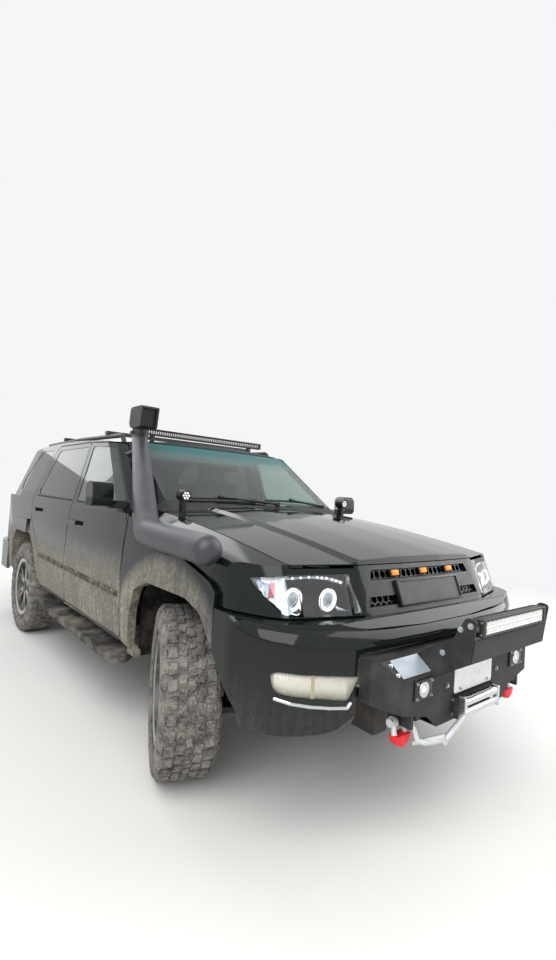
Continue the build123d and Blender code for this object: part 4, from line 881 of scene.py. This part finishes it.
galvanised = grimy("galvanised_forging", "d3d6d8", "a39e94", 0.42, metallic=0.6, amount=0.35, bump=0.15)
red_pad = marked("moulded_polyurethane", "e00f22", 0.4, scale=45, skin=0.2)
pin_y, pin_z = -2.33, 0.53
bow_z, bow_radius = 0.484, 0.033
pad_centre_z = 0.486
pad_line = [
    (-0.021, 0.0), (-0.021, 0.036), (-0.017, 0.044), (0.0, 0.047), (0.017, 0.044), (0.021, 0.036), (0.021, 0.0),
]
bows = bmesh.new()
pads = bmesh.new()
for side in (1, -1):
    x = side * 0.425
    add_rod(bows, (x - 0.043, pin_y, pin_z), (x + 0.043, pin_y, pin_z), 0.0105)
    for end in (-1, 1):
        eye_from, eye_to = [(x + end * reach, pin_y, pin_z) for reach in (0.019, 0.031)]
        add_rod(bows, eye_from, eye_to, 0.02, segments=24)
        foot = (x + end * bow_radius, pin_y - 0.012, bow_z)
        add_rod(bows, (x + end * 0.025, pin_y, pin_z - 0.01), foot, 0.0105, 0.0115, segments=16)
    add_rod(bows, (x - 0.05, pin_y, pin_z), (x - 0.041, pin_y, pin_z), 0.017, segments=6)
    bend = []
    for number in range(11):
        across, down = math.cos(number * math.pi / 10), math.sin(number * math.pi / 10)
        y, z = pin_y - 0.012 - 0.004 * down, bow_z - bow_radius * down
        bend.append(Vector((x + bow_radius * across, y, z)))
    for start, end in zip(bend, bend[1:]):
        add_rod(bows, start, end, 0.0115, segments=14)
    add_turned(pads, pad_line, axis=(0, 1, 0), centre=(x, pin_y - 0.013, pad_centre_z), steps=36)
everything = list(pads.verts) + list(pads.edges) + list(pads.faces)
bmesh.ops.bisect_plane(
    pads, geom=everything, plane_co=(0, 0, pad_centre_z), plane_no=(0, 0, 1), clear_outer=True
)
bmesh.ops.holes_fill(pads, edges=[e for e in pads.edges if e.is_boundary], sides=0)
make_piece("recovery_shackles", bows, galvanised, replaced=("shackles",))
make_piece("shackle_isolators", pads, red_pad, smooth=40)

hook = bmesh.new()
hook_line = [
    (-0.398, -2.352, 0.545), (-0.378, -2.372, 0.5), (-0.372, -2.385, 0.462), (-0.345, -2.4, 0.452),
    (-0.296, -2.418, 0.452), (-0.262, -2.43, 0.456),
]
add_bead(hook, hook_line, 0.0105)
for start, end, wide, narrow, segments in (
    # pivot, latch, swivel, neck and rope ferrule
    ((-0.262, -2.442, 0.456), (-0.262, -2.414, 0.456), 0.017, 0.017, 24),
    ((-0.385, -2.372, 0.449), (-0.262, -2.43, 0.466), 0.008, 0.012, 12),
    ((-0.262, -2.436, 0.456), (-0.215, -2.44, 0.482), 0.011, 0.013, 16),
    ((-0.215, -2.44, 0.482), (-0.15, -2.442, 0.515), 0.0135, 0.0105, 16),
    ((-0.15, -2.442, 0.515), (-0.1, -2.436, 0.538), 0.009, 0.007, 16),
):
    add_rod(hook, start, end, wide, narrow, segments=segments)
make_piece("winch_hook", hook, galvanised, smooth=40)

# Snorkel: rotationally moulded polyethylene, dark grey with a soft sheen, screwed to the wing and
# the pillar. Its blacker ram head is held on the neck by a worm-drive clamp.

neck_x, neck_y = -0.69, -0.3875
head_z = 1.7365
snorkel_plastic = grimy("rotomoulded_polyethylene", "303338", "74726d", 0.4, scale=7, amount=0.22, bump=0.25)
tree = snorkel_plastic.node_tree
surface = tree.nodes["Principled BSDF"]
height = add_node(tree, "SeparateXYZ", [add_node(tree, "TexCoord").outputs["Object"]]).outputs["Z"]
above = add_node(tree, "Math", [height, head_z], operation="GREATER_THAN")
tube = surface.inputs["Base Color"].links[0].from_socket
head = add_node(tree, "Mix", {0: above, 6: tube, 7: linear("0d0e10")}, data_type="RGBA")
wire(surface, {"Base Color": head})
give(snorkel_plastic, "snorkel")
bm = bmesh.new()
clamp_line = [(1.706, 0.0525), (1.706, 0.0545), (1.72, 0.0545), (1.72, 0.0525)]
add_turned(bm, clamp_line, axis=(0, 0, 1), centre=(neck_x, neck_y, 0), steps=48, close=True)
add_block(bm, (neck_x - 0.066, neck_y - 0.012, 1.704), (neck_x - 0.05, neck_y + 0.012, 1.722), 0.002)
screw_x = neck_x - 0.06
add_rod(bm, (screw_x, neck_y - 0.018, 1.713), (screw_x, neck_y + 0.016, 1.713), 0.005, segments=12)
make_piece("snorkel_clamp", bm, bar_housing)

# Hood lamps: small round pods of black die-cast aluminium on brackets at the rear corners of the
# hood, with a bezel, cooling fins behind and seven white chips in each. They lift with the hood.

give(black_housing, "ditch_lights")
bezels = bmesh.new()
chips = bmesh.new()
bezel_line = [(0.0, 0.0315), (0.0035, 0.031), (0.0035, 0.028), (0.0005, 0.0275), (0.0, 0.0275)]
for side in (1, -1):
    centre = Vector((side * 0.657, -1.0028, 1.326))
    add_turned(bezels, bezel_line, axis=forward, centre=centre, steps=36, close=True)
    for number in range(7):
        angle = number * math.tau / 6
        reach = 0.0172 if number < 6 else 0
        spot = centre + Vector((reach * math.cos(angle), 0, reach * math.sin(angle)))
        add_rod(chips, spot, spot + Vector((0, -0.0035, 0)), 0.0072, 0.005, segments=14)
    for number in range(6):
        z = 1.302 + number * 0.0095
        add_block(bezels, (centre.x - 0.026, -0.941, z), (centre.x + 0.026, -0.9375, z + 0.003))
make_piece("hood_lamp_bezels", bezels, bar_housing, "hood")
make_piece("hood_lamp_chips", chips, led_chip, "hood")

# Roof: rails and flat crossbars of aluminium under satin black paint, bolted through the roof, and
# a ribbed black lamp bar across the front on two feet.

rail_paint = grimy("satin_black_roof_rail", "101113", "5b5750", 0.4, amount=0.4, bump=0.1)
give(rail_paint, "roof_rails")
light_bar("roof_light_bar", (-0.56, -0.072, 1.748), (0.56, -0.0178, 1.796), 60, 1, bar_housing)
bm = bmesh.new()
for side in (1, -1):
    add_block(bm, (side * 0.445 - 0.015, -0.06, 1.703), (side * 0.445 + 0.015, -0.03, 1.752), 0.003)
    add_bolt(bm, (side * 0.46, -0.045, 1.732), (side, 0, 0), 0.006)
make_piece("roof_lamp_feet", bm, bar_housing, smooth=30)

# Doors: extruded black rubber seals along the window sills, a grained and grooved plastic moulding
# clipped along the foot of each door with dust in its grain, and silvered glass in the mirrors.

seal_rubber = grimy("extruded_seal_rubber", "0d0d0d", "5b574f", 0.7, amount=0.4, bump=0.1)
moulding = grimy("grained_side_moulding", "151616", "8a847a", 0.7, scale=22, amount=0.75, bump=0.8)
mirror_glass = marked("silvered_mirror_glass", "dfe4e6", 0.02, spread=0.06, scale=18, skin=0, Metallic=1.0)
door_strips = (
    # door, window sill from and to, moulding from and to
    ("door_front", -0.60, 0.165, -0.775, 0.217),
    ("door_rear", 0.29, 1.235, 0.25, 0.905),
)


def add_strip(bm, side, inner, outer, span, low, high, *rounding):
    """A straight strip along one side of the vehicle, between two distances from its middle."""
    near, far = sorted((side * inner, side * outer))
    add_block(bm, (near, span[0], low), (far, span[1], high), *rounding)


for side_name, side in (("left", 1), ("right", -1)):
    for door, glass_from, glass_to, strip_from, strip_to in door_strips:
        panel = f"{door}_{side_name}"
        bm = bmesh.new()
        add_strip(bm, side, 0.884, 0.8935, (glass_from, glass_to), 1.225, 1.2385, 0.002)
        make_piece(f"{panel}_sill_seal", bm, seal_rubber, panel)
        bm = bmesh.new()
        add_strip(bm, side, 0.925, 0.9365, (strip_from, strip_to), 0.736, 0.768, 0.004, None, 2)
        for groove in (0.745, 0.752, 0.759):
            span = (strip_from + 0.01, strip_to - 0.01)
            add_strip(bm, side, 0.9256, 0.9371, span, groove - 0.0012, groove + 0.0012)
        make_piece(f"{panel}_moulding", bm, moulding, panel)
    bm = bmesh.new()
    lean = Matrix.Translation((side * 1.025, -0.6055, 1.305)) @ Matrix.Rotation(math.radians(-5.1), 4, "X")
    add_block(bm, (-0.048, -0.001, -0.052), (0.048, 0.0018, 0.052), 0.001, lean)
    door = f"door_front_{side_name}"
    make_piece(f"mirror_glass_{side_name}", bm, mirror_glass, door, smooth=30)

# Wipers: arms of pressed steel under satin black paint, with rubber blades that lie on the glass,
# two on the windscreen and one on the tailgate. Each is laid on its pane by search.

wiper_black = marked("black_painted_wiper", "0b0b0c", 0.42, skin=0.2)
blade_lift = 0.012


def skin_of(node):
    """A search tree of a node's skin."""
    mesh = nodes[node].data
    return BVHTree.FromPolygons([v.co for v in mesh.vertices], [tuple(p.vertices) for p in mesh.polygons])


def add_wiper(bm, pane, pivot, start, end, arm_lift):
    """A blade from start to end along the glass, and an arm from its pivot to the blade's middle."""
    pivot, start, end = Vector(pivot), Vector(start), Vector(end)
    line = []
    for share, lift in [(number / 12, blade_lift) for number in range(13)] + [(0.5, arm_lift)]:
        place, way = pane.find_nearest(start.lerp(end, share))[:2]
        line.append(place + way * lift)
    hold = line.pop()
    for a, b in zip(line, line[1:]):
        add_rod(bm, a, b, 0.0075, segments=6)
    way = (hold - pivot).normalized() * 0.02
    boss = Vector((0, 0, 0.012))
    add_rod(bm, pivot, hold, 0.011, 0.006, segments=10)
    add_rod(bm, pivot - boss, pivot + boss, 0.016, segments=16)
    add_rod(bm, hold - way, hold + way, 0.011, segments=8)


bm = bmesh.new()
screen = skin_of("windscreen")
add_wiper(bm, screen, (0.1, -0.905, 1.3), (-0.6, -0.83, 1.31), (-0.06, -0.87, 1.315), 0.024)
add_wiper(bm, screen, (0.6, -0.83, 1.295), (0.02, -0.865, 1.315), (0.5, -0.835, 1.31), 0.024)
make_piece("windscreen_wipers", bm, wiper_black)
bm = bmesh.new()
add_wiper(bm, skin_of("tailgate_glass"), (0, 2.478, 1.235), (0.02, 2.46, 1.27), (0.42, 2.45, 1.28), 0.02)
make_piece("tailgate_wiper", bm, wiper_black, "tailgate")

# Side steps: pressed steel boards on brackets, each with a ribbed black rubber pad glued on top.
# Dry pale mud fills the grooves and covers most of the pad.

step_pad = grimy("ribbed_step_rubber", "23211e", "8b847a", 0.85, scale=6, amount=0.9, bump=0.5)
give(step_pad, "side_steps")
bm = bmesh.new()
for side in (1, -1):
    for rib in range(8):
        x = side * (0.822 + rib * 0.0145)
        add_block(bm, (x - 0.0035, -0.735, 0.411), (x + 0.0035, 0.9, 0.4155), 0.001)
    for end in (-0.79, 0.93):
        x = side * 0.877
        add_block(bm, (x - 0.072, end - 0.02, 0.409), (x + 0.06, end + 0.02, 0.4145), 0.002)
make_piece("side_step_ribs", bm, step_pad, smooth=30)

# Rear lamps: moulded red acrylic lenses with a clear reversing window and an amber band, prisms
# inside them, let into the body corners. Two small red reflectors are screwed to the bumper.

lens_low, lens_high = 0.85, 1.215
rear_lens, tree, surface, place = new_material(
    "moulded_red_acrylic", "8d0d10", Roughness=0.08, IOR=1.49, Transmission_Weight=0.35
)
height = add_node(tree, "SeparateXYZ", [place]).outputs["Z"]
level = add_node(tree, "MapRange", [height, lens_low, lens_high])
tones = ((0, "8d0d10"), (0.22, "e7e4de"), (0.4, "c8741c"), (0.55, "8d0d10"))
bands = add_node(tree, "ValToRGB", [level], ramp=tones)
bands.color_ramp.interpolation = "CONSTANT"
prisms = add_node(
    tree, "TexWave", {"Vector": place, "Scale": 60}, wave_type="BANDS", bands_direction="Z"
)
relief = add_node(tree, "Bump", {"Height": prisms.outputs["Fac"], "Strength": 0.4, "Distance": 0.002})
wire(surface, {"Base Color": bands, "Normal": relief})
give(rear_lens, "tail_lamps")
bm = bmesh.new()
bumper_skin = skin_of("rear_bumper")
for side in (1, -1):
    place, way = bumper_skin.find_nearest(Vector((side * 0.72, 2.62, 0.6)))[:2]
    add_block(bm, (-0.06, -0.014, -0.003), (0.06, 0.014, 0.005), 0.002, facing(place, way))
make_piece("rear_reflectors", bm, rear_lens, smooth=30)

# Tailgate: a grained black plastic grip over a blank white registration plate, both screwed to the
# outer panel and laid on its skin by search.

gate_skin = skin_of("tailgate")


def on_gate(x, z):
    """Matrix of a flat place on the tailgate, drawn in x, up and out."""
    place, way = gate_skin.find_nearest(Vector((x, 2.7, z)))[:2]
    across = Vector((-1, 0, 0))
    turn = Matrix((across, way.cross(across).normalized(), way)).transposed().to_4x4()
    return Matrix.Translation(place) @ turn


bm = bmesh.new()
add_block(bm, (-0.3, -0.022, -0.004), (0.3, 0.022, 0.014), 0.006, on_gate(0, 1.13), segments=2)
make_piece("tailgate_grip", bm, moulding, "tailgate")
bm = bmesh.new()
add_block(bm, (-0.152, -0.076, 0.0), (0.152, 0.076, 0.004), 0.0015, on_gate(0, 0.98))
make_piece("rear_blank_plate", bm, plate_enamel, "tailgate", smooth=30)

# Cabin: grained soft moulding for the dashboard, a leather wheel rim, a mirror glued inside the
# windscreen, and padded seats in grey-beige cloth, whose weave is drawn coarser than the real one
# so that it shows. Each pad is a form on its own with sewn channels pressed in.

dash_skin = grimy("slush_moulded_dashboard", "55524e", "7b766e", 0.62, scale=120, amount=0.25, bump=0.5)
wheel_leather = grimy("wrapped_wheel_leather", "2a2827", "3d3a37", 0.5, scale=60, amount=0.3, bump=0.3)
give(dash_skin, "dashboard")
give(wheel_leather, "steering_wheel")
bm = bmesh.new()
for x in (-0.7, -0.09, 0.09, 0.7):
    for slat in range(4):
        z = 1.045 + slat * 0.014
        add_block(bm, (x - 0.055, -0.468, z), (x + 0.055, -0.4535, z + 0.006), 0.001)
add_block(bm, (0.22, -0.62, 1.14), (0.52, -0.44, 1.185), 0.012, segments=3)
add_block(bm, (-0.12, -0.466, 0.86), (0.12, -0.452, 1.02), 0.004, segments=2)
make_piece("dashboard_vents", bm, wheel_leather)
bm = bmesh.new()
tilt = Matrix.Translation((0, -0.36, 1.545)) @ Matrix.Rotation(math.radians(12), 4, "X")
add_block(bm, (-0.12, -0.012, -0.032), (0.12, 0.012, 0.032), 0.01, tilt, segments=3)
add_rod(bm, (0, -0.375, 1.55), (0, -0.35, 1.63), 0.008, segments=12)
make_piece("inside_mirror", bm, black_housing)

seat_cloth, tree, surface, place = new_material(
    "woven_seat_cloth", "8c857a", Roughness=0.92, Sheen_Weight=0.25
)
weave = add_node(
    tree, "TexWave", {"Vector": place, "Scale": 210, "Distortion": 1.5},
    wave_type="BANDS", bands_direction="DIAGONAL",
).outputs["Fac"]
threads = add_node(tree, "ValToRGB", [weave], ramp=((0, "776f64"), (1, "a29a8d")))
relief = add_node(tree, "Bump", {"Height": weave, "Strength": 0.3, "Distance": 0.001})
wire(surface, {"Base Color": threads, "Normal": relief})
channel_depth = 0.014


def add_pad(name, size, crown, place, channels=(), replaced=()):
    """A crowned pad of full size, its sides pulled in between the corners, channels across x."""
    bm = bmesh.new()
    bmesh.ops.create_cube(bm, size=2)
    bmesh.ops.subdivide_edges(bm, edges=list(bm.edges), cuts=15, use_grid_fill=True)
    half = Vector(size) / 2
    for v in bm.verts:
        a, b, c = v.co
        swell = Vector((0, 0, 0))
        if abs(c) > 0.99:
            swell.z = math.copysign(crown * (1 - a * a) * (1 - b * b), c)
            for channel in channels:
                swell.z -= math.copysign(channel_depth * math.exp(-((abs(a) - channel) / 0.05) ** 2), c)
        if abs(a) > 0.99:
            swell.x = -math.copysign(crown * 0.35 * (1 - b * b), a)
        if abs(b) > 0.99:
            swell.y = -math.copysign(crown * 0.35 * (1 - a * a), b)
        v.co = Vector((a * half.x, b * half.y, c * half.z)) + swell
    every_way = {f"use_axis_{axis}": True for axis in "xyz"}
    for _ in range(3):
        bmesh.ops.smooth_vert(bm, verts=bm.verts, factor=0.5, **every_way)
    bmesh.ops.transform(bm, matrix=place, verts=bm.verts)
    pad = make_piece(name, bm, seat_cloth, smooth=60, replaced=replaced)


def lean_back(spot, degrees):
    """Matrix that stands a pad up at a spot and leans it back."""
    upright = Matrix.Rotation(math.radians(90), 4, "X")
    return Matrix.Translation(spot) @ Matrix.Rotation(math.radians(-degrees), 4, "X") @ upright


bm = bmesh.new()
for side_name, side in (("left", 1), ("right", -1)):
    x = side * 0.37
    replaced = ("front_seats",) if side == 1 else ()
    flat = Matrix.Translation((x, -0.005, 0.835))
    add_pad(f"front_cushion_{side_name}", (0.49, 0.47, 0.12), 0.016, flat, (0.55,), replaced)
    add_pad(f"front_back_{side_name}", (0.47, 0.54, 0.11), 0.014, lean_back((x, 0.32, 1.165), 11), (0.55,))
    add_pad(f"front_headrest_{side_name}", (0.25, 0.15, 0.075), 0.012, lean_back((x, 0.392, 1.515), 11))
    add_block(bm, (x - 0.17, -0.17, 0.602), (x + 0.17, 0.19, 0.775), 0.012, segments=2)
    for post in (-0.06, 0.06):
        add_rod(bm, (x + post, 0.372, 1.42), (x + post, 0.385, 1.47), 0.006, segments=10)
make_piece("front_seat_bases", bm, black_housing)
flat = Matrix.Translation((0, 0.97, 0.825))
add_pad("rear_bench_cushion", (1.26, 0.52, 0.16), 0.014, flat, (0.34,), ("rear_seat",))
add_pad("rear_bench_back", (1.26, 0.49, 0.095), 0.012, lean_back((0, 1.208, 1.165), 9), (0.34,))
bm = bmesh.new()
add_block(bm, (-0.54, 0.7, 0.602), (0.54, 1.235, 0.76), 0.012, segments=2)
carpet = grimy("needled_carpet", "4a4742", "6e675d", 0.95, scale=40)
make_piece("rear_bench_base", bm, carpet)
